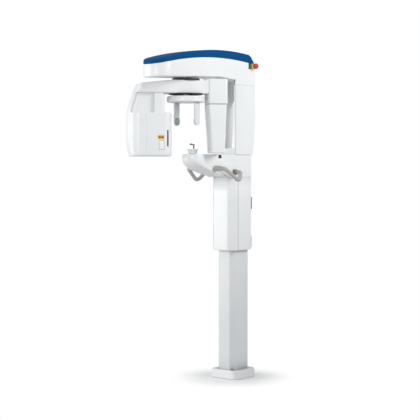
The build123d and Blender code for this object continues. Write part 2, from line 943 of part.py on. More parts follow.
def band_body():
    """Outer band over the tube end, below the beam."""
    region = tip_side(0, 150, tube_low, c_beam_low) - tip_side(band_thick, 100, tube_low - 1, c_beam_low + 1)
    plan = upright(c_arm_plan(tube_end_r, tube_end_r, sensor_half, sensor_in), tube_low, c_beam_low)
    slab = block(-600, -150, -band_half, band_half, tube_low, c_beam_low)
    return region & plan & slab


def beam_body(inset):
    """Beam of the C-arm with its rising top and its bowed end."""
    end = sensor_in - 1
    top, mid, low = tip_arc(inset)
    side = make_face(
        Curve() + [
            ThreePointArc(top, mid, low),
            Polyline(
                low, (end - inset, tube_low), (end - inset, c_top_sensor - inset),
                (110, c_top - inset), (-100, c_top - inset), top,
            ),
        ]
    )
    plan = upright(
        c_arm_plan(tube_end_r - inset, tube_end_r - inset, sensor_half - inset, end - inset),
        c_beam_low + inset, c_top_sensor + 5,
    )
    return (xz(side, 150) & plan) & block(-600, 600, -300, 300, c_beam_low + inset, c_top_sensor - inset)


def make_c_arm_cover():
    """Beam shell with the outer band of the tube end."""
    shell_ = beam_body(0) - beam_body(shell)
    shell_ -= disc(shaft_r + 2, c_top - 10, c_top + 10)
    shell_ -= disc(post_r + rotation_slide_range + 4, c_beam_low - 1, c_beam_low + 10)
    shell_ -= block(-252, -238, -46, 46, c_beam_low - 1, c_beam_low + 10)
    shell_ -= block(sensor_in - 10, sensor_in, -50, 50, c_frame_low - 30, c_frame_high + 4)
    return c_arm_place(shell_ + band_body())


def make_collar():
    """Dark disc between the arm and the C-arm."""
    return Pos(0, axis_y, 0) * ring(collar_r, shaft_r, c_top, c_top + collar_height)


def make_rotation_shaft():
    flange = ring(62, shaft_bore_r, c_frame_high, c_frame_high + 6)
    tube = ring(shaft_r, shaft_bore_r, c_frame_high, pulley_high)
    return Pos(0, axis_y, 0) * (flange + tube)


def make_arm_pulley():
    """Large toothed pulley at the top of the hollow shaft."""
    pulley = ring(big_pulley_r, shaft_r, pulley_low, pulley_high)
    for i in range(48):
        tooth_gap = Pos(big_pulley_r, 0, (pulley_low + pulley_high) / 2) * Box(2.4, 4, 9)
        pulley -= Rot(0, 0, 360 / 48 * i) * tooth_gap
    return Pos(0, axis_y, 0) * pulley


c_frame_low = c_top - 28.0
c_frame_high = c_frame_low + 10.0


def make_c_frame():
    """Aluminium frame inside the covers: a spar and two hangers."""
    spar = block(-250, sensor_in + 60, -45, 45, c_frame_low, c_frame_high)
    spar -= disc(shaft_bore_r, c_frame_low - 1, c_frame_high + 1)
    tube_hanger = block(-250, -240, -45, 45, tube_high - 40, c_frame_low)
    sensor_hanger = block(sensor_in + 50, sensor_in + 60, -40, 40, sensor_low + 60, c_frame_low)
    return c_arm_place(spar + tube_hanger + sensor_hanger)


def tube_head_body(inset, z0, z1):
    """Tube head: round outer end, flat flanks and large inner corners."""
    half = tube_end_r - trim_gap - inset
    length = tube_end_centre - tube_in
    inner_end = Pos(-(tube_in + inset) - length / 2, 0) * RectangleRounded(
        length, 2 * half, tube_corner - inset
    )
    outer_end = Pos(-tube_end_centre, 0) * Circle(half)
    middle = polygon(
        (-tube_end_centre, -half), (-tube_in - length / 2, -half),
        (-tube_in - length / 2, half), (-tube_end_centre, half),
    )
    plan = inner_end + outer_end + middle
    return upright(plan, z0, z1) & tip_side(trim_gap + inset, tube_in - 10, z0, z1)


def make_tube_head_cover():
    outer = tube_head_body(0, tube_low, tube_high)
    inner = tube_head_body(shell, tube_low + shell, tube_high - shell)
    band_room = band_body()
    hanger_hole = block(-252, -238, -46, 46, tube_high - 10, tube_high + 1)
    beam_hole = block(-tube_in - 10, -tube_in + 1, -12, 12, beam_z - 75, beam_z + 75)
    return c_arm_place(outer - inner - band_room - hanger_hole - beam_hole - light_lens())


beam_z = (tube_low + tube_high) / 2 - 10.0


def make_exit_window():
    """Thin window in the tube head's inner face for the fan beam."""
    pane = block(-tube_in - shell, -tube_in, -12, 12, beam_z - 75, beam_z + 75)
    return c_arm_place(pane)


def make_neck_cover():
    """Set-back neck between the tube head and the beam."""
    back = tip_side(band_thick, 222, tube_high, c_beam_low) & block(-600, -200, -66, 66, 0, 3000)
    front = block(-222, -158, -84, 84, tube_high, c_beam_low)
    front = fillet(front.edges().filter_by(Axis.Z).sort_by(Axis.X)[-2:], 24)
    inside = block(-330, -166, -58, 58, tube_high - 1, c_beam_low + 1)
    return c_arm_place(back + front - inside)


def make_tube_tank():
    """Oil-filled housing of the x-ray tube, open towards the sensor."""
    tank = block(-290, -160, -62, 62, beam_z - 95, tube_high - 45)
    tank -= block(-280, -168, -54, 54, beam_z - 85, tube_high - 55)
    tank -= block(-169, -159, -14, 14, beam_z - 50, beam_z + 50)
    return c_arm_place(tank)


def make_xray_tube():
    """Glass tube across the tank, with its two end caps."""
    glass = Pos(-225, 0, beam_z) * Rot(90, 0, 0) * Cylinder(22, 84)
    cap = Pos(-225, 0, beam_z) * Rot(90, 0, 0) * Cylinder(15, 108)
    return c_arm_place(glass + cap)


def make_collimator():
    """Lead plate with an upright slit in front of the tube."""
    plate = block(-158, -148, -40, 40, beam_z - 70, beam_z + 70)
    slit = block(-159, -147, -2, 2, beam_z - 55, beam_z + 55)
    bracket = block(-160, -158, -40, 40, beam_z - 70, beam_z - 60)
    return c_arm_place(plate - slit + bracket)


light_turn = 22.0
lens_half = 5.0


def light_lens():
    """Lens of the positioning light, set into the head's inner corner."""
    flat = tube_end_r - trim_gap - tube_corner
    lens = block(-lens_half, lens_half, -tube_corner - 0.8, -tube_corner + 3, beam_z - 66, beam_z + 40)
    return Pos(-tube_in - tube_corner, -flat, 0) * Rot(0, 0, light_turn) * lens


def make_light_slot():
    return c_arm_place(light_lens())


def make_label(r0, r1, z0, z1):
    """A thin plate on the flank of the tube head."""
    flank = -(tube_end_r - trim_gap)
    return c_arm_place(block(r0, r1, flank - 0.6, flank, z0, z1))


def sensor_plan(grow_in, grow_out, half):
    length = sensor_out - sensor_in - grow_in - grow_out
    middle = (sensor_in + grow_in + sensor_out - grow_out) / 2
    return Pos(middle, 0) * RectangleRounded(length, 2 * half, 16)


def make_sensor_upper():
    """Upper sensor cover, joined to the beam."""
    outer = upright(sensor_plan(0, 0, sensor_half), sensor_split + 4, c_top_sensor)
    outer = fillet(outer.faces().sort_by(Axis.Z)[-1].edges(), 4)
    inner = upright(sensor_plan(shell, shell, sensor_half - shell), sensor_split, c_top_sensor - shell)
    doorway = block(sensor_in - 20, sensor_in + 20, -50, 50, c_frame_low - 30, c_frame_high + 4)
    return c_arm_place(outer - inner - doorway)


def make_sensor_trim():
    """Dark inset strip between the two sensor covers."""
    outer = upright(sensor_plan(3, 7, sensor_half - 4), sensor_split - 4, sensor_split + 4)
    inner = upright(sensor_plan(12, 16, sensor_half - 14), sensor_split - 5, sensor_split + 5)
    return c_arm_place(outer - inner)


def sensor_lower_body(inset):
    top = Pos(0, 0, sensor_split - 4) * sensor_plan(inset, 5 + inset, sensor_half - 1 - inset)
    low = Pos(0, 0, sensor_low + inset) * sensor_plan(
        sensor_taper_in + inset, 5 + sensor_taper_out + inset, sensor_half - 6 - inset
    )
    return loft([low, top])


def make_sensor_lower():
    outer = sensor_lower_body(0)
    inner = sensor_lower_body(shell)
    opening = block(sensor_in - 40, sensor_in + 34, -20, 20, beam_z - 95, beam_z + 95)
    return c_arm_place(outer - inner - opening)


def make_sensor_window():
    """Carbon-fibre window that leans with the sensor cover's inner face."""
    pane = block(-shell + 0.5, 0, -19.5, 19.5, beam_z - 94, beam_z + 94)
    lean = sensor_taper_in / (sensor_split - 4 - sensor_low)
    shift = sensor_in + lean * (sensor_split - 4 - beam_z) + shell
    turn = Pos(shift, 0, beam_z) * Rot(0, -3.44, 0) * Pos(0, 0, -beam_z)
    return c_arm_place(turn * pane)


def make_sensor_board():
    board = block(sensor_in + 40, sensor_in + 42, -38, 38, sensor_low + 70, sensor_split - 20)
    chip = block(sensor_in + 34, sensor_in + 40, -14, 14, beam_z - 80, beam_z + 80)
    return c_arm_place(board + chip)


# ---- head support ---------------------------------------------------------------

def make_support_post():
    """Hollow post from the bridge down through the rotation shaft."""
    return ring(post_r, post_r - 4, support_high, bridge_low, 0, axis_y)


blade_slot_in = 58.0
blade_slot_out = 104.0


def make_support_body():
    """Round housing with two slots below for the temple blades."""
    outer = disc(support_r, support_low, support_high, 0, axis_y)
    outer = fillet(outer.edges(), 7)
    inner = disc(support_r - 4, support_low + 4, support_high - 4, 0, axis_y)
    body = outer - inner
    slot = block(blade_slot_in, blade_slot_out, support_y - 14, support_y + 14,
                 support_low - 1, support_low + 6)
    return body - both_sides(slot)


def make_guide_rod():
    """Steel rod inside the head support that both blades slide on."""
    rod_ = rod_x(4, -112, 112, support_y, support_low + 20)
    for x in (-112, 112):
        rod_ += block(x - 3, x + 3, support_y - 6, support_y + 6, support_low + 4, support_low + 26)
    return rod_


def make_temple_blade(side):
    """Blade with a round lower end, and a stem that runs on the guide rod."""
    half = blade_thick / 2
    w = blade_width
    blade = block(blade_reach - half, blade_reach + half, support_y - w / 2, support_y + w / 2,
                  blade_low, support_low - 2)
    corners = blade.edges().filter_by(Axis.X).sort_by(Axis.Z)[0:2]
    blade = fillet(corners, w / 2 - 2)
    stem = block(blade_reach - half, blade_reach + half, support_y - 12, support_y + 12,
                 support_low - 2, support_low + 28)
    bore = rod_x(4 + running_gap, blade_reach - 20, blade_reach + 20, support_y, support_low + 20)
    piece = blade + stem - bore
    return piece if side > 0 else mirror(piece, Plane.YZ)


def make_temple_pad(side):
    """Soft pad on the inner face of a blade's lower end."""
    inner = blade_reach - blade_thick / 2
    pad = block(inner - 5, inner, support_y - 21, support_y + 21, blade_low + 3, blade_low + 52)
    pad = fillet(pad.edges().filter_by(Axis.X), 18)
    return pad if side > 0 else mirror(pad, Plane.YZ)


# ---- switches on the arm's right side -------------------------------------------

switch_y = spine_rear - 65.0
switch_z = cap_low_rear - 12.0
stop_y = spine_rear - 31.0


def make_switch_housing():
    """Frame of the power switch, with a pocket for its rocker."""
    face = spine_half
    frame = block(face, face + 5, switch_y - 11, switch_y + 11, switch_z - 20, switch_z + 20)
    return frame - block(face + 1, face + 6, switch_y - 8, switch_y + 8, switch_z - 16, switch_z + 16)


def make_power_rocker():
    """Rocker with two slanted halves."""
    face = spine_half
    half_w = 8 - slide_gap
    bar = make_face(Polyline(
        (face + 3.4, switch_z - 12), (face + 7.0, switch_z - 14.5), (face + 5.4, switch_z),
        (face + 7.0, switch_z + 14.5), (face + 3.4, switch_z + 12), close=True))
    return extrude(Plane.XZ.offset(-switch_y - half_w) * bar, 2 * half_w)


def make_stop_base():
    """Round base of the emergency stop, with a bore for its plunger."""
    face = spine_half
    base = rod_x(20, face, face + 18, stop_y, switch_z)
    base = chamfer(base.edges().sort_by(Axis.X)[-1], 3)
    return base - rod_x(9 + slide_gap, face + 4, face + 19, stop_y, switch_z)


def make_emergency_stop():
    """Mushroom head on its plunger."""
    face = spine_half
    stem = rod_x(9, face + 9, face + 26, stop_y, switch_z)
    head = rod_x(19, face + 24, face + 40, stop_y, switch_z)
    head = fillet(head.edges().sort_by(Axis.X)[-1], 9)
    return stem + head


def group(*shapes):
    """Several separate solids in one node."""
    return Compound(children=[solid for shape in shapes for solid in shape.solids()])


# ---- nodes ----------------------------------------------------------------------

nodes = {
    "floor_plate": make_floor_plate() + make_column_feet(),
    "base_cover": make_base_cover(),
    "fixed_column": make_column(),
    "guide_rails": group(make_guide_rail(-1), make_guide_rail(1)),
    "wall_bracket": make_wall_bracket(),
    "lift_actuator": group(make_lift_motor(), make_outer_tube()),
    "lift_middle_tube": make_middle_tube(),
    "lift_inner_tube": make_inner_tube(),
    "mains_inlet": group(make_inlet_plate(), make_mains_inlet()),
    "lift_mast": make_mast() + make_cross_plate(),
    "runner_blocks": make_runner_blocks(),
    "side_plates": group(make_side_plate(-1), make_side_plate(1)),
    "power_supply": make_power_supply(),
    "control_board": make_control_board(),
    "column_cover_front": make_cover_front(),
    "column_cover_sides": group(make_cover_side(-1), make_cover_side(1)),
    "cover_bottom_trim": make_bottom_trim(),
    "spine_cover": group(make_spine_cover(), make_window_liner(-1), make_window_liner(1)),
    "spine_rear_cover": make_rear_cover(),
    "shelf_cover": make_shelf_cover(),
    "shelf_frame": make_shelf_frame() + make_chin_post(),
    "chin_rest": group(make_chin_block(), make_chin_plate()),
    "bite_fork": make_bite_fork(),
    "handle_left": group(make_handle(-1), make_handle_mounts(-1)),
    "handle_right": group(make_handle(1), make_handle_mounts(1)),
    "button_bezel": make_button_bezel(),
    "up_button": make_button(button_z + 3),
    "down_button": make_button(button_z - 8),
    "arm_cover": make_arm_cover(),
    "top_cap": make_top_cap(),
    "arm_frame": group(make_arm_frame(), make_head_deck(), make_slide_rails(), make_post_bridge()),
    "slide_plate": make_slide_plate(),
    "rotation_bearings": make_rotation_bearings(),
    "rotation_motor": make_rotation_motor(),
    "drive_belt": make_drive_belt(),
    "motor_pulley": make_motor_pulley(),
    "c_arm_cover": make_c_arm_cover(),
    "rotation_collar": make_collar(),
    "rotation_shaft": make_rotation_shaft(),
    "shaft_pulley": make_arm_pulley(),
    "c_arm_frame": make_c_frame(),
    "tube_head_cover": make_tube_head_cover(),
    "tube_neck_cover": make_neck_cover(),
    "tube_tank": make_tube_tank(),
    "xray_tube": make_xray_tube(),
    "collimator": make_collimator(),
    "exit_window": make_exit_window(),
    "tube_head_trim": group(make_light_slot(), make_label(-208, -165, beam_z - 22, beam_z + 4),
                            make_label(-200, -165, beam_z - 84, beam_z - 26)),
    "sensor_cover_upper": make_sensor_upper(),
    "sensor_cover_lower": make_sensor_lower(),
    "sensor_trim": make_sensor_trim(),
    "sensor_window": make_sensor_window(),
    "sensor_board": make_sensor_board(),
    "head_support_post": group(make_support_post(), make_guide_rod()),
    "head_support_body": make_support_body(),
    "temple_blade_left": group(make_temple_blade(-1), make_temple_pad(-1)),
    "temple_blade_right": group(make_temple_blade(1), make_temple_pad(1)),
    "switch_panel": group(make_switch_housing(), make_stop_base()),
    "power_rocker": make_power_rocker(),
    "emergency_stop": make_emergency_stop(),
}

for name, shape in nodes.items():
    shape.label = name
    export_step(shape, f"parts/{name}.step")
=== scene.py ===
import json
import math

import bmesh
import bpy
import numpy as np
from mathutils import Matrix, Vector


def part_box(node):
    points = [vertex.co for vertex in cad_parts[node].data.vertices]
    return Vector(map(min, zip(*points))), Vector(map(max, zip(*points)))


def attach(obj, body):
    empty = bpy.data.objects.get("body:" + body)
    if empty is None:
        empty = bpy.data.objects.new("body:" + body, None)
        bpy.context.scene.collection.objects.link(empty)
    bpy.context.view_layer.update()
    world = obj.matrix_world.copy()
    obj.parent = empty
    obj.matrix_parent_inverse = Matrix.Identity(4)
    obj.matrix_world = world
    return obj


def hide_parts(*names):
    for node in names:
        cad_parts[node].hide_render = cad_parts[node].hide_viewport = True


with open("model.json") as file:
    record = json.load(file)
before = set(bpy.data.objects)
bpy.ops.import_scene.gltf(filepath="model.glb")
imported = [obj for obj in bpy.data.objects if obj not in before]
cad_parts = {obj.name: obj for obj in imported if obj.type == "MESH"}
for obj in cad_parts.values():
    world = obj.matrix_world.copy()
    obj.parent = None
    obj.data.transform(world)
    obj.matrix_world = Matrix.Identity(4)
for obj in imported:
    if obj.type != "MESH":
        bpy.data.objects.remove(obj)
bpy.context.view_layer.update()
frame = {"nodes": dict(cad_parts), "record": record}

# Everything is in metres, in the machine's own frame: +Z up, the patient on -Y, the
# wall on +Y. The C-arm is drawn in its own axes and turned to where it rests.

X, Y, Z = 0, 1, 2
sides = (("left", -1.0), ("right", 1.0))


def span(node, axis):
    """Lowest and highest value of a CAD node along one axis."""
    low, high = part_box(node)
    return low[axis], high[axis]


slot_of = {part["node"]: part["material_slot"] for part in frame["record"]["subparts"]}


# ---- places taken from the frame ---------------------------------------------------

base_high = span("base_cover", Z)[1]
column_top = span("fixed_column", Z)[1]
column_half = span("fixed_column", X)[1]
column_front, column_rear = span("fixed_column", Y)
cover_low, hull_low = span("column_cover_front", Z)
cover_half = span("column_cover_front", X)[1]
cover_front = span("column_cover_front", Y)[0]
shelf_top = span("shelf_cover", Z)[1]
spine_top = span("spine_cover", Z)[1]
spine_half = span("spine_cover", X)[1]
spine_front, spine_rear = span("spine_cover", Y)
nose_tip = span("arm_cover", Y)[0]
axis_y = sum(span("rotation_collar", Y)) / 2
collar_low, collar_high = span("rotation_collar", Z)
support_low, support_high = span("head_support_body", Z)

# ---- camera, floor and light -------------------------------------------------------

camera_side = math.radians(40.0)
camera_distance = 7.9
camera_height = 1.427
aim = Vector((-0.115, -0.096, 1.151))


def make_camera():
    """Long-lens camera at eye height, to the right of the machine's front."""
    data = bpy.data.cameras.new("studio_camera")
    data.lens = 98.6
    data.sensor_width = 36.0
    data.clip_end = 60.0
    camera = bpy.data.objects.new("studio_camera", data)
    bpy.context.scene.collection.objects.link(camera)
    camera.location = (
        aim.x + camera_distance * math.sin(camera_side),
        aim.y - camera_distance * math.cos(camera_side),
        camera_height,
    )
    camera.rotation_euler = (aim - camera.location).to_track_quat("-Z", "Y").to_euler()
    bpy.context.scene.camera = camera


def softbox(name, place, look, size, watts, spread=180.0):
    """Large square area light aimed at a point."""
    data = bpy.data.lights.new(name, "AREA")
    data.shape = "RECTANGLE"
    data.size, data.size_y = size
    data.energy = watts
    data.spread = math.radians(spread)
    light = bpy.data.objects.new(name, data)
    bpy.context.scene.collection.objects.link(light)
    light.location = place
    light.rotation_euler = (Vector(look) - Vector(place)).to_track_quat("-Z", "Y").to_euler()


def make_world():
    """Even studio surroundings, white where the camera looks past the machine."""
    world = bpy.data.worlds.new("studio")
    bpy.context.scene.world = world
    world.use_nodes = True
    nodes, links = world.node_tree.nodes, world.node_tree.links
    nodes.clear()
    surroundings = nodes.new("ShaderNodeBackground")
    surroundings.inputs["Color"].default_value = (0.97, 0.985, 1.0, 1.0)
    surroundings.inputs["Strength"].default_value = 0.6
    backdrop = nodes.new("ShaderNodeBackground")
    backdrop.inputs["Color"].default_value = (1.0, 1.0, 1.0, 1.0)
    path = nodes.new("ShaderNodeLightPath")
    mix = nodes.new("ShaderNodeMixShader")
    out = nodes.new("ShaderNodeOutputWorld")
    links.new(path.outputs["Is Camera Ray"], mix.inputs[0])
    links.new(surroundings.outputs[0], mix.inputs[1])
    links.new(backdrop.outputs[0], mix.inputs[2])
    links.new(mix.outputs[0], out.inputs["Surface"])


def make_floor():
    """Round pale floor that fades into the white surroundings away from the machine."""
    ring = np.linspace(0.0, 2.0 * np.pi, 96, endpoint=False)
    radii = np.array([0.0, 0.4, 1.0, 2.0])[:, None]
    points = np.stack([radii * np.cos(ring), radii * np.sin(ring), 0.0 * radii * ring], -1)
    mesh = mesh_of("studio_floor", [(points, True)])
    floor = bpy.data.objects.new("studio_floor", mesh)
    bpy.context.scene.collection.objects.link(floor)
    floor.location.z = -0.0005
    mesh.materials.append(floor_finish())


def floor_finish():
    """Pale matt floor, more and more transparent with distance from the column."""
    material = bpy.data.materials.new("studio_floor")
    material.use_nodes = True
    nodes, links = material.node_tree.nodes, material.node_tree.links
    shader = nodes["Principled BSDF"]
    shader.inputs["Base Color"].default_value = (0.97, 0.97, 0.97, 1.0)
    shader.inputs["Roughness"].default_value = 0.85
    place = nodes.new("ShaderNodeTexCoord")
    length = nodes.new("ShaderNodeVectorMath")
    length.operation = "LENGTH"
    fade = nodes.new("ShaderNodeMapRange")
    fade.interpolation_type = "SMOOTHSTEP"
    fade.inputs["From Min"].default_value = 0.13
    fade.inputs["From Max"].default_value = 0.45
    white = nodes.new("ShaderNodeBsdfTransparent")
    mix = nodes.new("ShaderNodeMixShader")
    links.new(place.outputs["Object"], length.inputs[0])
    links.new(length.outputs["Value"], fade.inputs["Value"])
    links.new(fade.outputs["Result"], mix.inputs[0])
    links.new(shader.outputs[0], mix.inputs[1])
    links.new(white.outputs[0], mix.inputs[2])
    links.new(mix.outputs[0], nodes["Material Output"].inputs["Surface"])
    return material


# ---- meshes ------------------------------------------------------------------------

def quads(rows, cols, around):
    """Corner numbers of a grid's faces; around joins the last column to the first."""
    i = np.arange(rows - 1)[:, None]
    j = np.arange(cols if around else cols - 1)[None, :]
    k = (j + 1) % cols
    corners = [i * cols + j, i * cols + k, (i + 1) * cols + k, (i + 1) * cols + j]
    return np.stack(np.broadcast_arrays(*corners), -1).reshape(-1, 4)


def mesh_of(name, grids):
    """One mesh of several grids of points, welded where they meet, normals outward."""
    points, faces, first = [], [], 0
    for grid, around in grids:
        rows, cols = grid.shape[:2]
        points.append(grid.reshape(-1, 3))
        faces.append(quads(rows, cols, around) + first)
        first += rows * cols
    mesh = bpy.data.meshes.new(name)
    mesh.from_pydata(np.concatenate(points).tolist(), [], np.concatenate(faces).tolist())
    work = bmesh.new()
    work.from_mesh(mesh)
    bmesh.ops.remove_doubles(work, verts=work.verts, dist=2e-5)
    bmesh.ops.dissolve_degenerate(work, edges=work.edges, dist=1e-6)
    bmesh.ops.recalc_face_normals(work, faces=work.faces)
    work.to_mesh(mesh)
    work.free()
    return mesh


def piece(name, grids, body, slot, stands_for=(), wall=0.0, edge=0.0, crease=32.0, look=None):
    """A finished piece of the machine: mesh, wall, softened edges, finish and body."""
    mesh = mesh_of(name, grids)
    mesh.shade_smooth()
    mesh.set_sharp_from_angle(angle=math.radians(crease))
    made = bpy.data.objects.new(name, mesh)
    bpy.context.scene.collection.objects.link(made)
    if wall:
        solid = made.modifiers.new("wall", "SOLIDIFY")
        solid.thickness = wall
        solid.offset = -1.0
        solid.use_even_offset = True
    if edge:
        bevel = made.modifiers.new("soft_edge", "BEVEL")
        bevel.width = edge
        bevel.segments = 3
        bevel.limit_method = "ANGLE"
        bevel.angle_limit = math.radians(crease)
        bevel.harden_normals = True
    mesh.materials.append(finish(look or slot))
    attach(made, body)
    if stands_for:
        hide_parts(*stands_for)
    return made


def ways_out(corners):
    """Unit vectors from each corner of a loop to the one before it and the one after."""
    ways = [np.roll(corners, step, axis=0) - corners for step in (1, -1)]
    return [way / np.linalg.norm(way, axis=1, keepdims=True) for way in ways]


def halfway(back, ahead):
    """Unit vector midway between two, and half the angle between them."""
    angle = np.arccos(np.clip(np.sum(back * ahead, axis=1, keepdims=True), -1.0, 1.0))
    middle = back + ahead
    return middle / np.linalg.norm(middle, axis=1, keepdims=True), angle / 2


def rounded(points, radii, steps=7, closed=True):
    """Straight runs joined by arcs: each corner's arc is tangent to both its runs."""
    corners = np.asarray(points, float)
    radii = np.broadcast_to(np.asarray(radii, float), (len(corners),))[:, None]
    back, ahead = ways_out(corners)
    if not closed:
        corners, radii, back, ahead = (a[1:-1] for a in (corners, radii, back, ahead))
    middle, half = halfway(back, ahead)
    centre = corners + middle * radii / np.sin(half)
    start = corners + back * radii / np.tan(half) - centre
    end = corners + ahead * radii / np.tan(half) - centre
    sweep = (np.pi - 2 * half)[:, :, None]
    t = np.linspace(0.0, 1.0, steps)[None, :, None]
    turned = np.sin((1 - t) * sweep) * start[:, None] + np.sin(t * sweep) * end[:, None]
    arcs = (centre[:, None] + turned / np.sin(sweep)).reshape(-1, corners.shape[1])
    if closed:
        return arcs
    ends = np.asarray(points, float)
    return np.concatenate([ends[:1], arcs, ends[-1:]])


def box_plan(x0, x1, y0, y1):
    """Corners of an upright rectangle, counter-clockwise from its lower left."""
    return [(x0, y0), (x1, y0), (x1, y1), (x0, y1)]


def even(path, count):
    """A path's points again, evenly spaced along its length."""
    step = np.linalg.norm(np.diff(path, axis=0), axis=1)
    along = np.concatenate([[0.0], np.cumsum(step)])
    wanted = np.linspace(0.0, along[-1], count)
    return np.stack([np.interp(wanted, along, path[:, k]) for k in range(path.shape[1])], -1)


def lift(outlines, levels):
    """Plan outlines, one to a row, raised to their levels."""
    outlines = np.asarray(outlines, float)
    levels = np.asarray(levels, float)
    if levels.ndim == 1:
        levels = levels[:, None]
    levels = np.broadcast_to(levels, outlines.shape[:2])
    return np.concatenate([outlines, levels[..., None]], -1)


def level_row(loop, heights):
    """A plan loop as one row of points, at one height or at a height for each point."""
    return np.column_stack([loop, np.broadcast_to(heights, len(loop))])


def quarter(size, count=7):
    """Pairs size (1 - cos t), size (1 - sin t): a quarter-round edge's inset and drop."""
    turn = np.linspace(0.0, np.pi / 2, count)
    return np.column_stack([size * (1 - np.cos(turn)), size * (1 - np.sin(turn))])


def capped(rows):
    """A tube of rows with both its ends drawn in to their middle points."""
    first = np.broadcast_to(rows[0].mean(0), rows[0].shape)[None]
    last = np.broadcast_to(rows[-1].mean(0), rows[-1].shape)[None]
    return np.concatenate([first, rows, last])


def arc_over(y, a, b, c):
    """Height at y of the circle through three points of a side view."""
    (ay, az), (by, bz), (cy, cz) = a, b, c
    d = 2 * (ay * (bz - cz) + by * (cz - az) + cy * (az - bz))
    sa, sb, sc = ay**2 + az**2, by**2 + bz**2, cy**2 + cz**2
    oy = (sa * (bz - cz) + sb * (cz - az) + sc * (az - bz)) / d
    oz = (sa * (cy - by) + sb * (ay - cy) + sc * (by - ay)) / d
    r = math.hypot(ay - oy, az - oz)
    side = 1.0 if bz > oz else -1.0
    return oz + side * np.sqrt(np.maximum(r**2 - (np.asarray(y) - oy) ** 2, 0.0))


def tube_rows(path, radii, count, up):
    """Circles carried along a path, square to it; radii may change on the way."""
    path = np.asarray(path, float)
    radii = np.broadcast_to(np.asarray(radii, float), (len(path),))
    ahead = np.gradient(path, axis=0)
    ahead /= np.linalg.norm(ahead, axis=1, keepdims=True)
    side = np.cross(ahead, np.broadcast_to(np.asarray(up, float), ahead.shape))
    side /= np.linalg.norm(side, axis=1, keepdims=True)
    over = np.cross(side, ahead)
    turn = np.linspace(0.0, 2.0 * np.pi, count, endpoint=False)
    ring = np.cos(turn)[:, None, None] * side + np.sin(turn)[:, None, None] * over
    return np.moveaxis(path + ring * radii[:, None], 0, 1)


def turned_rows(profile, count=64):
    """A profile of radius and height spun about the upright axis."""
    profile = np.asarray(profile, float)
    turn = np.linspace(0.0, 2.0 * np.pi, count, endpoint=False)
    r, z = profile[:, 0][:, None], profile[:, 1][:, None]
    return np.stack([r * np.cos(turn), r * np.sin(turn), z + 0.0 * turn], -1)


# ---- finishes ----------------------------------------------------------------------

finishes = {}


def shader_of(name):
    """A new material, its Principled shader and its node tree."""
    material = bpy.data.materials.new(name)
    material.use_nodes = True
    tree = material.node_tree
    return material, tree.nodes["Principled BSDF"], tree


def noise_node(tree, scale, detail=3.0, stretch=None):
    """Noise on the piece's own coordinates, drawn out along one axis if asked."""
    place = tree.nodes.new("ShaderNodeTexCoord")
    noise = tree.nodes.new("ShaderNodeTexNoise")
    noise.inputs["Scale"].default_value = scale
    noise.inputs["Detail"].default_value = detail
    if stretch:
        mapping = tree.nodes.new("ShaderNodeMapping")
        mapping.inputs["Scale"].default_value = stretch
        tree.links.new(place.outputs["Object"], mapping.inputs["Vector"])
        tree.links.new(mapping.outputs["Vector"], noise.inputs["Vector"])
    else:
        tree.links.new(place.outputs["Object"], noise.inputs["Vector"])
    return noise


def ranged(tree, source, low, high):
    """A value from 0.3 to 0.7 spread between low and high."""
    spread = tree.nodes.new("ShaderNodeMapRange")
    spread.inputs["From Min"].default_value = 0.3
    spread.inputs["From Max"].default_value = 0.7
    spread.inputs["To Min"].default_value = low
    spread.inputs["To Max"].default_value = high
    tree.links.new(source, spread.inputs["Value"])
    return spread.outputs["Result"]


def two_tone(tree, factor, dark, light):
    """Colour that drifts between two near tones."""
    mix = tree.nodes.new("ShaderNodeMix")
    mix.data_type = "RGBA"
    mix.inputs["A"].default_value = (*dark, 1.0)
    mix.inputs["B"].default_value = (*light, 1.0)
    tree.links.new(factor, mix.inputs["Factor"])
    return mix.outputs["Result"]


def add_bump(tree, shader, height, distance):
    """Relief of the given depth, from a height between 0 and 1."""
    bump = tree.nodes.new("ShaderNodeBump")
    bump.inputs["Distance"].default_value = distance
    bump.inputs["Strength"].default_value = 1.0
    tree.links.new(height, bump.inputs["Height"])
    tree.links.new(bump.outputs["Normal"], shader.inputs["Normal"])


def moulded(name, dark, light, rough, grain=700.0, depth=0.000004, coat=0.0, metal=0.0,
            shine=0.5):
    """Moulded or painted surface: drifting tone, uneven gloss, a fine skin texture."""
    material, shader, tree = shader_of(name)
    drift = noise_node(tree, 3.5, 2.0)
    tone = ranged(tree, drift.outputs[0], 0.0, 1.0)
    tree.links.new(two_tone(tree, tone, dark, light), shader.inputs["Base Color"])
    wear = noise_node(tree, 26.0, 4.0)
    tree.links.new(ranged(tree, wear.outputs[0], *rough), shader.inputs["Roughness"])
    skin = noise_node(tree, grain, 2.0)
    add_bump(tree, shader, skin.outputs[0], depth)
    shader.inputs["Coat Weight"].default_value = coat
    shader.inputs["Coat Roughness"].default_value = 0.12
    shader.inputs["Metallic"].default_value = metal
    shader.inputs["Specular IOR Level"].default_value = shine
    return material


def brushed(name, dark, light, rough, along):
    """Brushed metal: streaks drawn out along one axis, in tone, gloss and bump."""
    material, shader, tree = shader_of(name)
    stretch = [0.02 if k == along else 1.0 for k in range(3)]
    streak = noise_node(tree, 900.0, 3.0, stretch)
    tone = ranged(tree, streak.outputs[0], 0.0, 1.0)
    tree.links.new(two_tone(tree, tone, dark, light), shader.inputs["Base Color"])
    tree.links.new(ranged(tree, streak.outputs[0], *rough), shader.inputs["Roughness"])
    add_bump(tree, shader, streak.outputs[0], 0.00002)
    shader.inputs["Metallic"].default_value = 1.0
    return material


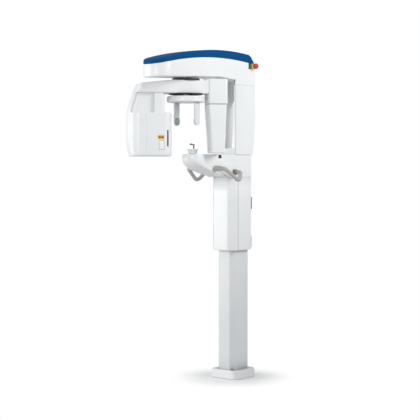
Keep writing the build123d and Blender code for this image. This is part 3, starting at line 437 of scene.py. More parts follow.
def woven(name, dark, light):
    """Carbon fibre: a fine twill of two crossed waves under a clear coat."""
    material, shader, tree = shader_of(name)
    place = tree.nodes.new("ShaderNodeTexCoord")
    waves = []
    for direction in ("X", "Z"):
        wave = tree.nodes.new("ShaderNodeTexWave")
        wave.bands_direction = direction
        wave.inputs["Scale"].default_value = 160.0
        wave.inputs["Distortion"].default_value = 0.3
        tree.links.new(place.outputs["Object"], wave.inputs["Vector"])
        waves.append(wave)
    twill = tree.nodes.new("ShaderNodeMath")
    twill.operation = "MULTIPLY"
    tree.links.new(waves[0].outputs["Fac"], twill.inputs[0])
    tree.links.new(waves[1].outputs["Fac"], twill.inputs[1])
    tree.links.new(two_tone(tree, twill.outputs[0], dark, light), shader.inputs["Base Color"])
    wear = noise_node(tree, 40.0)
    tree.links.new(ranged(tree, wear.outputs[0], 0.3, 0.45), shader.inputs["Roughness"])
    add_bump(tree, shader, twill.outputs[0], 0.00008)
    shader.inputs["Coat Weight"].default_value = 0.5
    return material


def board(name):
    """Circuit board: green lacquer over a maze of slightly raised copper."""
    material, shader, tree = shader_of(name)
    place = tree.nodes.new("ShaderNodeTexCoord")
    cells = tree.nodes.new("ShaderNodeTexVoronoi")
    cells.distance = "CHEBYCHEV"
    cells.feature = "F1"
    cells.inputs["Scale"].default_value = 140.0
    tree.links.new(place.outputs["Object"], cells.inputs["Vector"])
    tracks = tree.nodes.new("ShaderNodeMath")
    tracks.operation = "LESS_THAN"
    tracks.inputs[1].default_value = 0.32
    tree.links.new(cells.outputs["Distance"], tracks.inputs[0])
    tone = two_tone(tree, tracks.outputs[0], (0.012, 0.09, 0.035), (0.03, 0.2, 0.09))
    tree.links.new(tone, shader.inputs["Base Color"])
    wear = noise_node(tree, 60.0)
    tree.links.new(ranged(tree, wear.outputs[0], 0.25, 0.4), shader.inputs["Roughness"])
    add_bump(tree, shader, tracks.outputs[0], 0.00005)
    return material


def clear(name, tint, rough, through):
    """Clear moulding or glass, faintly tinted and a little uneven."""
    material = moulded(name, tint, tuple(min(1.0, c * 1.04) for c in tint), rough, grain=60.0)
    shader = material.node_tree.nodes["Principled BSDF"]
    shader.inputs["Transmission Weight"].default_value = through
    shader.inputs["IOR"].default_value = 1.47
    return material


# Moulded and painted finishes: name, darker tone, lighter tone, roughness, and what differs.
moulded_looks = {
    "white_cover": ("white_moulded_cover", (0.77, 0.785, 0.79), (0.80, 0.81, 0.815), (0.34, 0.44),
                    {"coat": 0.15}),
    "white_column": ("white_powder_coat", (0.72, 0.735, 0.745), (0.75, 0.76, 0.765), (0.34, 0.46),
                     {"grain": 420.0, "depth": 0.00006}),
    "blue_cap": ("blue_cap_lacquer", (0.0015, 0.066, 0.2), (0.002, 0.074, 0.22), (0.5, 0.6),
                 {"shine": 0.04}),
    "grey_handle": ("warm_grey_grip", (0.37, 0.365, 0.345), (0.42, 0.41, 0.39), (0.38, 0.52),
                    {"grain": 1300.0, "depth": 0.00005}),
    "black_plastic": ("black_moulding", (0.012, 0.013, 0.016), (0.022, 0.023, 0.027), (0.36, 0.5), {}),
    "rubber": ("black_rubber", (0.018, 0.018, 0.02), (0.03, 0.03, 0.033), (0.7, 0.85),
               {"depth": 0.00008}),
    "red_plastic": ("red_stop_moulding", (0.5, 0.012, 0.01), (0.6, 0.02, 0.015), (0.22, 0.34),
                    {"coat": 0.4}),
    "yellow_plastic": ("yellow_stop_ring", (0.72, 0.45, 0.05), (0.82, 0.53, 0.08), (0.3, 0.42), {}),
    "green_plastic": ("green_rocker_moulding", (0.0, 0.16, 0.085), (0.005, 0.21, 0.11), (0.25, 0.36),
                      {"coat": 0.3}),
    "grey_plastic": ("grey_moulding", (0.44, 0.455, 0.47), (0.5, 0.51, 0.525), (0.34, 0.46), {}),
    "lead_grey": ("grey_lead_paint", (0.2, 0.205, 0.215), (0.27, 0.275, 0.285), (0.5, 0.65),
                  {"metal": 0.3}),
    "dark_lens": ("dark_lens", (0.012, 0.014, 0.018), (0.02, 0.023, 0.028), (0.08, 0.16),
                  {"coat": 0.6}),
    "dark_boss": ("dark_grey_boss", (0.16, 0.16, 0.13), (0.2, 0.2, 0.165), (0.42, 0.55),
                  {"depth": 0.00005}),
    "pale_blade": ("pale_grey_blade", (0.66, 0.685, 0.7), (0.7, 0.72, 0.735), (0.3, 0.42), {}),
    "soft_grey_pad": ("soft_grey_pad", (0.3, 0.31, 0.315), (0.35, 0.36, 0.365), (0.6, 0.75),
                      {"depth": 0.00006}),
    "yellow_label": ("yellow_label", (0.68, 0.38, 0.06), (0.76, 0.45, 0.09), (0.35, 0.45), {}),
    "white_label": ("white_label", (0.8, 0.8, 0.79), (0.86, 0.86, 0.85), (0.35, 0.45), {}),
}

# Finishes with a pattern or a see-through body of their own: the function and its values.
other_looks = {
    "steel": (brushed, "brushed_steel", (0.42, 0.43, 0.45), (0.55, 0.56, 0.58), (0.24, 0.4), Z),
    "aluminium": (brushed, "brushed_aluminium", (0.66, 0.67, 0.69), (0.78, 0.79, 0.8), (0.28, 0.42), Y),
    "carbon": (woven, "carbon_window", (0.03, 0.035, 0.042), (0.12, 0.135, 0.155)),
    "board_green": (board, "green_circuit_board"),
    "glass": (clear, "tube_glass", (0.86, 0.9, 0.92), (0.02, 0.06), 0.9),
    "clear_plastic": (clear, "frosted_moulding", (0.86, 0.88, 0.9), (0.2, 0.34), 0.25),
}


def finish(look):
    """The machine's finish of that name, made once."""
    if look not in finishes:
        if look in moulded_looks:
            *values, more = moulded_looks[look]
            finishes[look] = moulded(*values, **more)
        else:
            make, *values = other_looks[look]
            finishes[look] = make(*values)
    return finishes[look]


def finish_cad_nodes():
    """Gives every CAD node the finish of its material slot."""
    for part in frame["record"]["subparts"]:
        node = frame["nodes"][part["node"]]
        look = finish(part["material_slot"])
        if not node.material_slots:
            node.data.materials.append(look)
        for place in node.material_slots:
            place.material = look


# ---- column and base ---------------------------------------------------------------

def make_base():
    """Rounded block: loops drawn in by r(1 - cos a) and raised by r sin a at its top edge."""
    low_x, high_x = span("base_cover", X)
    low_y, high_y = span("base_cover", Y)

    corner, soft, chamfer = 0.04, 0.009, 0.003
    steps = [(chamfer, 0.0), (0.0, chamfer)] + [(inset, base_high - drop) for inset, drop in quarter(soft)]
    rows = []
    for inset, z in steps:
        plan = box_plan(low_x + inset, high_x - inset, low_y + inset, high_y - inset)
        rows.append(level_row(rounded(plan, corner - inset, 12), z))
    hole_half, hole_front, hole_rear = 0.07, -0.076, 0.09
    hole = rounded(box_plan(-hole_half, hole_half, hole_front, hole_rear), 0.002, 12)
    rows.append(level_row(hole, base_high))
    piece("base_shell", [(np.array(rows), True)], "column", "white_cover", ["base_cover"], wall=0.003)


def upright_rows(path, low, high, count=9):
    """A plan path stood up between two levels."""
    levels = np.linspace(low, high, count)[:, None] + np.zeros(len(path))
    return lift(np.broadcast_to(path, (count, *path.shape)), levels)


def make_column():
    """Folded C section with softened bends, open behind."""
    cut = 0.03
    side = [(0.05, column_rear), (column_half, column_rear), (column_half, column_front + cut),
            (column_half - cut, column_front)]
    path = rounded(side + [(-x, y) for x, y in side[::-1]], 0.005, 5, closed=False)
    rows = upright_rows(path, span("fixed_column", Z)[0], column_top)
    piece("column_tube", [(rows, False)], "column", "white_column", ["fixed_column"], wall=0.005)


def make_column_covers():
    """Front shell and two side shells of the moving column, a fine gap between them."""
    cut, seam, gap = 0.042, span("column_cover_front", Y)[1], 0.0016
    turn_in = 0.004
    half = [(cover_half, seam), (cover_half, cover_front + cut), (cover_half - cut, cover_front)]
    path = rounded(half + [(-x, y) for x, y in half[::-1]], 0.01, 8, closed=False)
    levels = np.array([cover_low, cover_low + 0.001, cover_low + 0.0025, cover_low + 0.006,
                       1.1, 1.25, hull_low - 0.001])
    inset = np.array([0.0022, 0.0008, 0.0002, 0.0, 0.0, 0.0, 0.0])
    outward = path / np.linalg.norm(path, axis=1, keepdims=True)
    rows = lift(path[None] - inset[:, None, None] * outward[None], levels)
    piece("column_front_shell", [(rows, False)], "carriage", "white_cover",
          ["column_cover_front"], wall=0.003)
    rear = span("column_cover_sides", Y)[1]
    grids = []
    for _, side in sides:
        edge = np.array([(cover_half - turn_in, seam + gap), (cover_half, seam + gap),
                         (cover_half, rear), (cover_half - 0.012, rear)])
        path = rounded(edge, [0.0, 0.0012, 0.004, 0.0], 6, closed=False) * (side, 1.0)
        shift = inset[:, None] * -side
        rows = lift(np.stack([path[:, 0] + shift, path[:, 1] + 0.0 * shift], -1), levels)
        grids.append((rows, False))
    piece("column_side_shells", grids, "carriage", "white_cover", ["column_cover_sides"], wall=0.003)


# ---- patient shelf -----------------------------------------------------------------

shelf_tip = span("shelf_cover", Y)[0]
nose_r = 0.08
nose_y = shelf_tip + nose_r
waist, waist_y, shoulder_y = 0.072, -0.35, -0.19
hull_root = -0.13
well_y = column_front - 0.0016
tip_high = shelf_top - 0.03


def smooth(t):
    """The curve 3 t^2 - 2 t^3 between 0 and 1."""
    t = np.clip(t, 0.0, 1.0)
    return t * t * (3.0 - 2.0 * t)


def shelf_half(y):
    """Half-width: narrow waist, swelling to the nose drum ahead and the shoulder behind."""
    behind = (cover_half - waist) * smooth((y - waist_y) / (shoulder_y - waist_y))
    ahead = (nose_r - waist) * smooth((waist_y - y) / (waist_y - nose_y))
    return waist + behind + ahead


def shelf_path(inset):
    """Shelf outline in plan from the right rear, round the nose, to the left rear."""
    y = np.concatenate([np.linspace(column_rear, well_y + 0.0003, 8),
                        np.linspace(well_y - 0.0003, shoulder_y, 7)[:-1],
                        np.linspace(shoulder_y, nose_y, 30)[:-1]])
    turn = np.linspace(0.0, np.pi, 41)
    flank = np.stack([shelf_half(y) - inset, y], -1)
    r = nose_r - inset
    nose = np.stack([r * np.cos(turn), nose_y - r * np.sin(turn)], -1)
    return np.concatenate([flank, nose, flank[::-1] * (-1.0, 1.0)])


def make_shelf():
    """Bow-like hull: at depth s below the rim its length ahead of the root is k = 1 - s^2.5."""
    plan = shelf_path(0.0)
    depth = np.linspace(1.0, 0.0, 30) ** 0.8
    k = (1.0 - depth**2.5)[:, None]
    y = np.where(plan[:, 1] < hull_root, hull_root + (plan[:, 1] - hull_root) * k, plan[:, 1])
    hull = np.stack([plan[:, 0] + 0.0 * k, y], -1)
    levels = tip_high - (tip_high - hull_low) * depth
    inner_y = np.maximum(hull[0, :, 1], cover_front + 0.003)
    reach = np.minimum(cover_half - 0.003, cover_half - 0.042 + inner_y - cover_front)
    inner_x = np.sign(hull[0, :, 0]) * np.minimum(np.abs(hull[0, :, 0]), reach)
    lip = np.stack([inner_x, inner_y], -1)[None]
    soft = 0.01
    edge = quarter(soft, 8)
    rim = np.array([shelf_path(inset) for inset in edge[:, 0]])
    rim_levels = shelf_top - edge[:, 1]
    share = np.linspace(0.12, 1.0, 9)[:, None]
    last = rim[-1]
    top_y = np.where(last[:, 1] < nose_y, nose_y + (last[:, 1] - nose_y) * (1 - share), last[:, 1])
    wall = np.sign(last[:, 0]) * (cover_half - soft - 0.0005 * share)
    top = np.stack([np.where(last[:, 1] < well_y, last[:, 0] * (1 - share), wall), top_y], -1)
    rows = np.concatenate([lip, hull, rim, top])
    heights = np.concatenate([[hull_low], levels, rim_levels, np.full(9, shelf_top)])
    piece("shelf_hull", [(lift(rows, heights), False)], "carriage", "white_cover",
          ["shelf_cover"], crease=40.0)


# ---- spine, arm and cap ------------------------------------------------------------

window_half = 0.088
recess_y = span("spine_rear_cover", Y)[0]
head_level = spine_top + 0.03
rear_low = 0.103
bow_top = 1.83
bow_height = bow_top - shelf_top


def spine_back(z):
    """Rear edge: an arc that rises from the foot and ends upright at two thirds height."""
    step = spine_rear - rear_low
    bow = (bow_height**2 + step**2) / (2 * step)
    drop = np.maximum(bow_top - np.asarray(z), 0.0)
    return spine_rear - bow + np.sqrt(bow**2 - drop**2)


def make_spine():
    """Two jambs and the sill between them, with a round in each lower window corner."""
    grids = []
    levels = np.concatenate([np.linspace(shelf_top, bow_top, 24), spine_top - np.array([0.003, 0.0012])])
    for _, side in sides:
        rows = []
        for z in levels:
            plan = box_plan(window_half, spine_half, spine_front, spine_back(z))
            loop = rounded(plan, [0.0008, 0.009, 0.007, 0.002], 8)
            rows.append(level_row(loop * (side, 1.0), z))
        shrink = level_row(rows[-1][:, :2], spine_top)
        middle = shrink.mean(0)
        shrink = middle + (shrink - middle) * (0.86, 0.99, 1.0)
        grids.append((capped(np.array(rows + [shrink])), True))
    sill, bend, count = shelf_top + 0.042, 0.014, 61
    reach = window_half + 0.001
    x = reach * np.sin(np.linspace(-np.pi / 2, np.pi / 2, count))
    past = np.maximum(np.abs(x) - (reach - bend), 0.0)
    top = sill + bend - np.sqrt(np.maximum(bend**2 - past**2, 0.0))
    front, back, soft = spine_front + 0.0004, well_y, 0.0012
    outline = [(front, 0.0, -1.0), (front, -soft, 0.0), (front + 0.3 * soft, -0.3 * soft, 0.0),
               (front + soft, 0.0, 0.0), (back - soft, 0.0, 0.0), (back - 0.3 * soft, -0.3 * soft, 0.0),
               (back, -soft, 0.0), (back, 0.0, -1.0)]
    rows = []
    for y, drop, foot in outline:
        z = np.full(count, shelf_top) if foot else top + drop
        rows.append(np.column_stack([x, np.full(count, y), z]))
    grids.append((np.array(rows), False))
    piece("spine_shell", grids, "carriage", "white_cover", ["spine_cover"])


def slot_loop(inset, half, tip, rear, corner):
    """Plan outline with a half-round nose and small rear corners, drawn in all round."""
    r = half - inset
    c = min(max(corner - inset, 0.0004), r)
    back = rear - inset
    nose = tip + half
    turn = np.linspace(0.0, np.pi / 2, 7)
    x = np.linspace(0.0, r - c, 6)[:-1]
    rear_half = np.stack([x, back + 0.0 * x], -1)
    bend = np.stack([r - c + c * np.sin(turn), back - c + c * np.cos(turn)], -1)
    y = np.linspace(back - c, nose, 44)[1:-1]
    flank = np.stack([r + 0.0 * y, y], -1)
    sweep = np.linspace(0.0, np.pi / 2, 26)
    front = np.stack([r * np.cos(sweep), nose - r * np.sin(sweep)], -1)
    half_loop = np.concatenate([rear_half, bend, flank, front])
    return np.concatenate([half_loop, half_loop[-2:0:-1] * (-1.0, 1.0)])


middle_y, knee_y = -0.19, 0.075
trim_nose, trim_middle, trim_rear = 2.092, 2.168, 2.147
crest_nose, crest_middle, crest_knee = 2.118, 2.223, 2.212
rear_fall, rear_run = 0.065, 0.055


def arm_under(y):
    """Underside of the arm: it rises from the nose and falls a little to the spine."""
    return np.interp(y, [nose_tip, -0.24, spine_front], [2.012, 2.042, head_level])


def cap_under(y):
    """Trim line between arm and cap: one arc from the nose, over the middle, to the rear."""
    return arc_over(y, (spine_rear, trim_rear), (middle_y, trim_middle), (nose_tip - 0.001, trim_nose))


def cap_over(y):
    """Top of the cap: a long arc, dropping steeply over the last part at the rear."""
    arc = arc_over(y, (nose_tip - 0.001, crest_nose), (middle_y, crest_middle), (knee_y, crest_knee))
    slope = trim_rear + (spine_rear - np.asarray(y)) * rear_fall / rear_run
    k = 0.0025
    return arc - k * np.log1p(np.exp(np.clip((arc - slope) / k, -60.0, 60.0)))


def make_arm():
    """Slot-shaped shell: walls up to the cap, rounded lower edge, underside with a shaft hole."""
    soft = 0.008
    shared = (spine_half, nose_tip, spine_front, 0.0004)
    rows = []
    for inset, drop in ((0.0012, 0.0008), (0.0003, 0.0014), (0.0, 0.003)):
        loop = slot_loop(inset, *shared)
        rows.append(level_row(loop, cap_under(loop[:, 1]) - drop))
    for inset, rise in quarter(soft, 8):
        loop = slot_loop(inset, *shared)
        rows.append(level_row(loop, arm_under(loop[:, 1]) + rise))
    last = rows[-1][:, :2]
    axis, shaft_hole = np.array([0.0, axis_y]), 0.064
    out = (last - axis) / np.linalg.norm(last - axis, axis=1, keepdims=True)
    for t in np.linspace(0.0, 1.0, 13)[1:]:
        flat = (1 - t) * last + t * (axis + shaft_hole * out)
        rows.append(level_row(flat, arm_under(flat[:, 1])))
    rows.append(rows[-1] + (0.0, 0.0, 0.006))
    grids = [(np.array(rows), True)]
    half = [(spine_half, spine_front), (spine_half, spine_rear)]
    path = rounded(half + [(-x, y) for x, y in half[::-1]], 0.007, 8, closed=False)
    flank = np.stack([np.full(14, spine_half), np.linspace(spine_front, spine_rear - 0.015, 14)], -1)
    path = np.concatenate([flank, path[1:-1], flank[::-1] * (-1.0, 1.0)])
    share = np.array([0.0, 0.008, 0.03, 0.3, 0.6, 0.985, 1.0])[:, None]
    inset = np.array([0.0014, 0.0003, 0.0, 0.0, 0.0, 0.0, 0.0012])[:, None, None]
    top = cap_under(path[:, 1]) - 0.0008
    low = spine_top + 0.0006
    heights = low + share * (top - low)
    toward = np.stack([np.sign(path[:, 0]), (path[:, 1] > spine_rear - 0.008) * 1.0], -1)
    back = np.concatenate([path[None] - inset * toward[None], heights[..., None]], -1)
    inner = back[[0]] - np.concatenate([toward * 0.014, 0.0 * toward[:, :1]], -1)[None]
    inner_top = inner + (0.0, 0.0, 0.029)
    grids.append((np.concatenate([inner_top, inner, back]), False))
    face = np.array([(spine_front, head_level), (recess_y, head_level), (recess_y, spine_top),
                     (recess_y + 0.004, spine_top), (recess_y + 0.004, head_level + 0.004),
                     (spine_front, head_level + 0.004)])
    loop = rounded(face, [0.0002, 0.008, 0.0002, 0.0002, 0.006, 0.0002], 7)
    strip = np.stack([np.column_stack([np.full(len(loop), x), loop])
                      for x in (-window_half - 0.001, window_half + 0.001)])
    grids.append((strip, True))
    piece("arm_shell", grids, "carriage", "white_cover", ["arm_cover"])


def make_cap():
    """Lid with a fine lower edge, a rounded rim and a low crown across its top."""
    corner, soft, crown = 0.007, 0.009, 0.002
    shared = (spine_half, nose_tip, spine_rear, corner)
    rows = []
    for inset, up in ((0.0016, 0.0002), (0.0004, 0.0004), (0.0, 0.0016)):
        loop = slot_loop(inset, *shared)
        rows.append(level_row(loop, cap_under(loop[:, 1]) + up))
    depths = list(quarter(soft, 9))
    depths += [(d, 0.0) for d in (0.015, 0.024, 0.036, 0.05, 0.066, 0.084, spine_half)]
    for inset, drop in depths:
        loop = slot_loop(min(inset, spine_half - 0.0002), *shared)
        low = cap_under(loop[:, 1]) + 0.0017
        over = cap_over(loop[:, 1]) - drop - crown * (1 - inset / spine_half) ** 2
        rows.append(level_row(loop, np.maximum(over, low + 0.0001)))
    last = rows[-1].copy()
    last[:, 0] = 0.0
    rows.append(last)
    under = slot_loop(0.012, *shared)
    inside = level_row(under, cap_under(under[:, 1]) + 0.0002)
    piece("blue_lid", [(np.array([inside] + rows), True)], "carriage", "blue_cap", ["top_cap"], crease=40.0)


# ---- shapes shared by the smaller pieces -------------------------------------------

def drawn_in(points, depth):
    """A convex outline's corners moved inward so that every side shifts by depth."""
    corners = np.asarray(points, float)
    middle, half = halfway(*ways_out(corners))
    return corners + middle * depth / np.sin(half)


def pillow(points, radii, low, high, soft_low, soft_high, steps=8):
    """A slab with quarter-round edges: drawn in by s(1 - sin t) as it rises by s(1 - cos t)."""
    foot = [(inset, low + rise) for rise, inset in quarter(soft_low, 6)]
    head = [(inset, high - drop) for inset, drop in quarter(soft_high, 6)]
    radii = np.broadcast_to(np.asarray(radii, float), (len(points),))
    rows = []
    for inset, level in foot + head:
        loop = rounded(drawn_in(points, inset), np.maximum(radii - inset, 0.0003), steps)
        rows.append(level_row(loop, level))
    return np.array(rows)


def closed_on(side, rows):
    """A closed grid on the right side of the machine, or mirrored to the left."""
    return capped(rows * (side, 1.0, 1.0)), True


def along_x(rows):
    """Rows drawn as (y, z, height) laid so that their height runs along X."""
    return rows[..., [2, 0, 1]]


# ---- rotating C-arm: u runs from the tube end to the sensor, v across it -----------

arm_turn = math.radians(55.0)
head_low, head_high = span("tube_head_cover", Z)
beam_bottom = span("tube_neck_cover", Z)[1]
sensor_top = span("sensor_cover_upper", Z)[1]
tube_centre, tube_r = -0.302, 0.095


def turned(points):
    """Points in the C-arm's own axes, put where it rests."""
    u, v, z = np.moveaxis(np.asarray(points, float), -1, 0)
    c, s = math.cos(arm_turn), math.sin(arm_turn)
    return np.stack([u * c - v * s, axis_y + u * s + v * c, z], -1)


def on_c_arm(name, grids, slot="white_cover", stands_for=(), **more):
    """A piece of closed grids drawn in the C-arm's own axes, riding on it."""
    grids = [(turned(capped(np.asarray(grid))), True) for grid in grids]
    piece(name, grids, "c_arm", slot, stands_for, **more)


def tip_u(z, inset=0.0):
    """Bowed outer end of the C-arm: one circle seen from the side."""
    return inset - arc_over(z, (1.985, 0.313), (1.674, 0.397), (head_low, 0.37))


def soft_max(a, b, k=0.004):
    """The larger of two values, with a rounded change-over of size k."""
    return k * np.logaddexp(np.asarray(a) / k, np.asarray(b) / k)


def beam_top(u):
    """Top of the beam: straight runs from the sloping tube end to the sensor end."""
    level = np.interp(u, [-0.32, -0.1, 0.11, 0.14], [1.984, 2.008, 2.008, sensor_top])
    return level - 0.0004


def beam_loop(inset, level):
    """Beam outline: round tube end cut by the bowed line, sides drawn in to the sensor."""
    r = tube_r - inset
    far = tube_centre - r
    wide, thin, end = r, 0.064 - inset, 0.1386 - inset * 0.1
    corners = [(far, -wide), (-0.14, -wide), (0.099, -thin), (end, -thin),
               (end, thin), (0.099, thin), (-0.14, wide), (far, wide)]
    radii = [r * 0.9995, 0.3, 0.2, 0.0015, 0.0015, 0.2, 0.3, r * 0.9995]
    loop = rounded(corners, radii, 26)
    loop = even(np.concatenate([loop, loop[:1]]), 361)[:-1]
    rise = level(loop[:, 0]) if callable(level) else np.full(len(loop), level)
    u = soft_max(loop[:, 0], tip_u(rise, inset))
    if callable(level):
        rise = level(u)
    return np.column_stack([u, loop[:, 1], rise])


def make_beam():
    """Hollow beam: rounded edges, then flat rows running in to a hole on the axis."""
    soft_low, soft_high = 0.009, 0.006
    rows = [beam_loop(inset, beam_bottom + rise) for rise, inset in quarter(soft_low)]
    low = rows[-1]
    for inset, drop in quarter(soft_high):
        high = beam_loop(inset, lambda u, d=drop: beam_top(u) - d)
        if inset == 0.0:
            rows += [low + share * (high - low) for share in (0.15, 0.35, 0.55, 0.75, 0.9)]
        rows.append(high)

    def inward(row, radius):
        out = row[:, :2] / np.linalg.norm(row[:, :2], axis=1, keepdims=True)
        return [np.column_stack([(1 - t) * row[:, :2] + t * radius * out, row[:, 2]])
                for t in np.linspace(0.0, 1.0, 7)[1:]]

    under = inward(rows[0], 0.039)[::-1]
    over = inward(rows[-1], 0.053)
    for row in over:
        row[:, 2] = beam_top(row[:, 0])
    piece("beam_shell", [(turned(np.array(under + rows + over)), True)], "c_arm", "white_cover",
          ["c_arm_cover"], crease=40.0)


def make_band():
    """Outer band: its face follows the round end in plan and the bowed line from the side."""
    v = np.linspace(-0.051, 0.051, 25)
    levels = np.concatenate([[head_low], np.linspace(head_low + 0.004, beam_bottom, 40)])
    round_end = tube_centre - np.sqrt(tube_r**2 - v**2)
    outer = soft_max(round_end[None], tip_u(levels)[:, None])
    inner = np.broadcast_to(tip_u(levels)[:, None] + 0.028, outer.shape)
    u = np.concatenate([outer, inner[:, ::-1]], 1)
    across = np.broadcast_to(np.concatenate([v, v[::-1]]), u.shape)
    rows = np.stack([u, across, np.broadcast_to(levels[:, None], u.shape)], -1)
    on_c_arm("tube_end_band", [rows], edge=0.004)


def make_tube_head():
    """Tube housing: round outer end, large inner corners, two upright grooves in its flanks."""
    inner_u, half, corner, gap = -0.105, 0.092, 0.058, 0.003
    soft_low, soft_high = 0.012, 0.006
    steps = [(inset, head_low + rise) for rise, inset in quarter(soft_low)]
    steps += [(0.0, z) for z in np.linspace(head_low + 0.02, head_high - 0.014, 22)]
    steps += [(inset, head_high - drop) for inset, drop in quarter(soft_high)]
    rows = []
    for inset, z in steps:
        r = half - inset
        corners = box_plan(tube_centre - r, inner_u - inset, -r, r)
        loop = rounded(corners, [r * 0.9995, corner - inset, corner - inset, r * 0.9995], 48)
        loop = even(np.concatenate([loop, loop[:1]]), 721)[:-1]
        wide = smooth((loop[:, 0] + 0.310) / 0.003) - smooth((loop[:, 0] + 0.284) / 0.003)
        fine = np.exp(-(((loop[:, 0] + 0.345) / 0.0016) ** 2))
        keep = smooth((np.abs(loop[:, 1]) - 0.055) / 0.01)
        v = loop[:, 1] - np.sign(loop[:, 1]) * keep * (0.0022 * wide + 0.0012 * fine)
        u = soft_max(loop[:, 0], tip_u(z, gap + inset))
        rows.append(np.column_stack([u, v, np.full(len(u), z)]))
    on_c_arm("tube_head_shell", [rows], stands_for=["tube_head_cover"], crease=40.0)


def make_neck():
    """Set-back neck: a narrow back and a wider front with large corners."""
    levels = np.linspace(head_high - 0.004, beam_bottom + 0.004, 12)
    back, front = [], []
    for z in levels:
        loop = rounded(box_plan(tip_u(z, 0.024), -0.222, -0.066, 0.066), 0.004, 8)
        back.append(level_row(loop, z))
        loop = rounded(box_plan(-0.226, -0.158, -0.084, 0.084), [0.003, 0.024, 0.024, 0.003], 14)
        front.append(level_row(loop, z))
    on_c_arm("neck_shell", [back, front], stands_for=["tube_neck_cover"])


def make_sensor_head():
    """Two sensor covers; the lower one narrows linearly to its foot."""
    u0, u1, half = 0.139, 0.269, 0.064
    step, shy, corner = 0.005, 0.001, 0.016
    inner_lean, outer_lean, side_lean = 0.019, 0.012, 0.005
    split = span("sensor_cover_upper", Z)[0]
    upper = pillow(box_plan(u0, u1, -half, half), corner, split, sensor_top, 0.0015, 0.006, 14)
    on_c_arm("sensor_upper_shell", [upper], stands_for=["sensor_cover_upper"])
    low, high = span("sensor_cover_lower", Z)
    u1, half = u1 - step, half - shy
    rows = pillow(box_plan(u0, u1, -half, half), corner, low, high, 0.008, 0.0015, 14)
    level = rows[..., 2]
    share = (high - level) / (high - low)
    inner, outer = u0 + inner_lean * share, u1 - outer_lean * share
    u = inner + (rows[..., 0] - u0) / (u1 - u0) * (outer - inner)
    v = rows[..., 1] * (1 - side_lean / half * share)
    rows = np.stack([u, v, level], -1)
    mid = [rows[5] + s * (rows[6] - rows[5]) for s in (0.25, 0.5, 0.75)]
    rows = np.concatenate([rows[:6], mid, rows[6:]])
    on_c_arm("sensor_lower_shell", [rows], stands_for=["sensor_cover_lower"])
    pane = pillow(box_plan(1.553, 1.737, -0.019, 0.019), 0.003, -0.0008, 0.003, 0.0004, 0.0004)
    z = pane[..., 0]
    lean = u0 + inner_lean * (high - z) / (high - low)
    pane = np.stack([lean + pane[..., 2], pane[..., 1], z], -1)
    on_c_arm("sensor_pane", [pane], "carbon", ["sensor_window"], look="pale_blade")


def make_tube_head_details():
    """Exit pane, light lens and two plain labels on the tube head."""
    face = -0.105
    pane = pillow(box_plan(1.57, 1.72, -0.012, 0.012), 0.003, -0.002, 0.0007, 0.0003, 0.0004)
    pane = np.stack([face + pane[..., 2], pane[..., 1], pane[..., 0]], -1)
    on_c_arm("exit_pane", [pane], "carbon", ["exit_window"])
    bar = pillow(box_plan(-0.0052, 0.0052, 1.577, 1.683), 0.003, 0.054, 0.0587, 0.0004, 0.0006)
    lean = math.radians(22.0)
    across, out = bar[..., 0], bar[..., 2]
    u = -0.163 + out * math.sin(lean) + across * math.cos(lean)
    v = -0.034 - out * math.cos(lean) + across * math.sin(lean)
    lens = np.stack([u, v, bar[..., 1]], -1)
    on_c_arm("light_lens", [lens], "black_plastic", ["tube_head_trim"], look="dark_lens")
    for name, u0, u1, z0, z1, out, slot, look in (
        ("notice_plate", -0.208, -0.165, 1.623, 1.65, 0.0926, "yellow_plastic", "yellow_label"),
        ("notice_bar_left", -0.203, -0.189, 1.632, 1.641, 0.0929, "black_plastic", "black_plastic"),
        ("notice_bar_right", -0.184, -0.17, 1.632, 1.641, 0.0929, "black_plastic", "black_plastic"),
        ("rating_frame", -0.2, -0.165, 1.557, 1.616, 0.0926, "black_plastic", "soft_grey_pad"),
        ("rating_plate", -0.198, -0.167, 1.5595, 1.6135, 0.0929, "white_cover", "white_label"),
    ):
        plate = pillow(box_plan(u0, u1, z0, z1), 0.002, 0.0915, out, 0.0002, 0.0002)
        plate = np.stack([plate[..., 0], -plate[..., 2], plate[..., 1]], -1)
        on_c_arm(name, [plate], slot, look=look)


def on_axis(rows):
    """Rows spun about the upright axis through 0, 0, moved to the C-arm's axis."""
    return rows + (0.0, axis_y, 0.0)


def make_collar():
    """Dark collar above the beam, and below it a black ring that is painted shadow for the shaded gap over
    the head support; both spun about the axis.
    """
    r, soft = 0.09, 0.0025
    rim = [(r - drop, collar_high - inset) for inset, drop in quarter(soft, 6)]
    foot = [(r - inset, collar_low + drop) for inset, drop in quarter(soft, 6)]
    profile = [(0.05, collar_low), (0.05, collar_high)] + rim + foot + [(0.05, collar_low)]
    piece("axis_collar", [(on_axis(turned_rows(profile, 96)), True)], "c_arm", "black_plastic",
          ["rotation_collar"])
    # Black ring under the beam: painted shadow standing in for the shaded gap between the beam and the head
    # support.
    r, low, high = 0.112, beam_bottom - 0.0055, beam_bottom + 0.001
    foot = [(r - inset, low + drop) for inset, drop in quarter(0.002, 6)]
    profile = [(0.041, low), (0.041, high), (r, high)] + foot + [(0.041, low)]
    piece("painted_shadow_ring", [(on_axis(turned_rows(profile, 96)), True)], "c_arm", "black_plastic")


# ---- head support ------------------------------------------------------------------

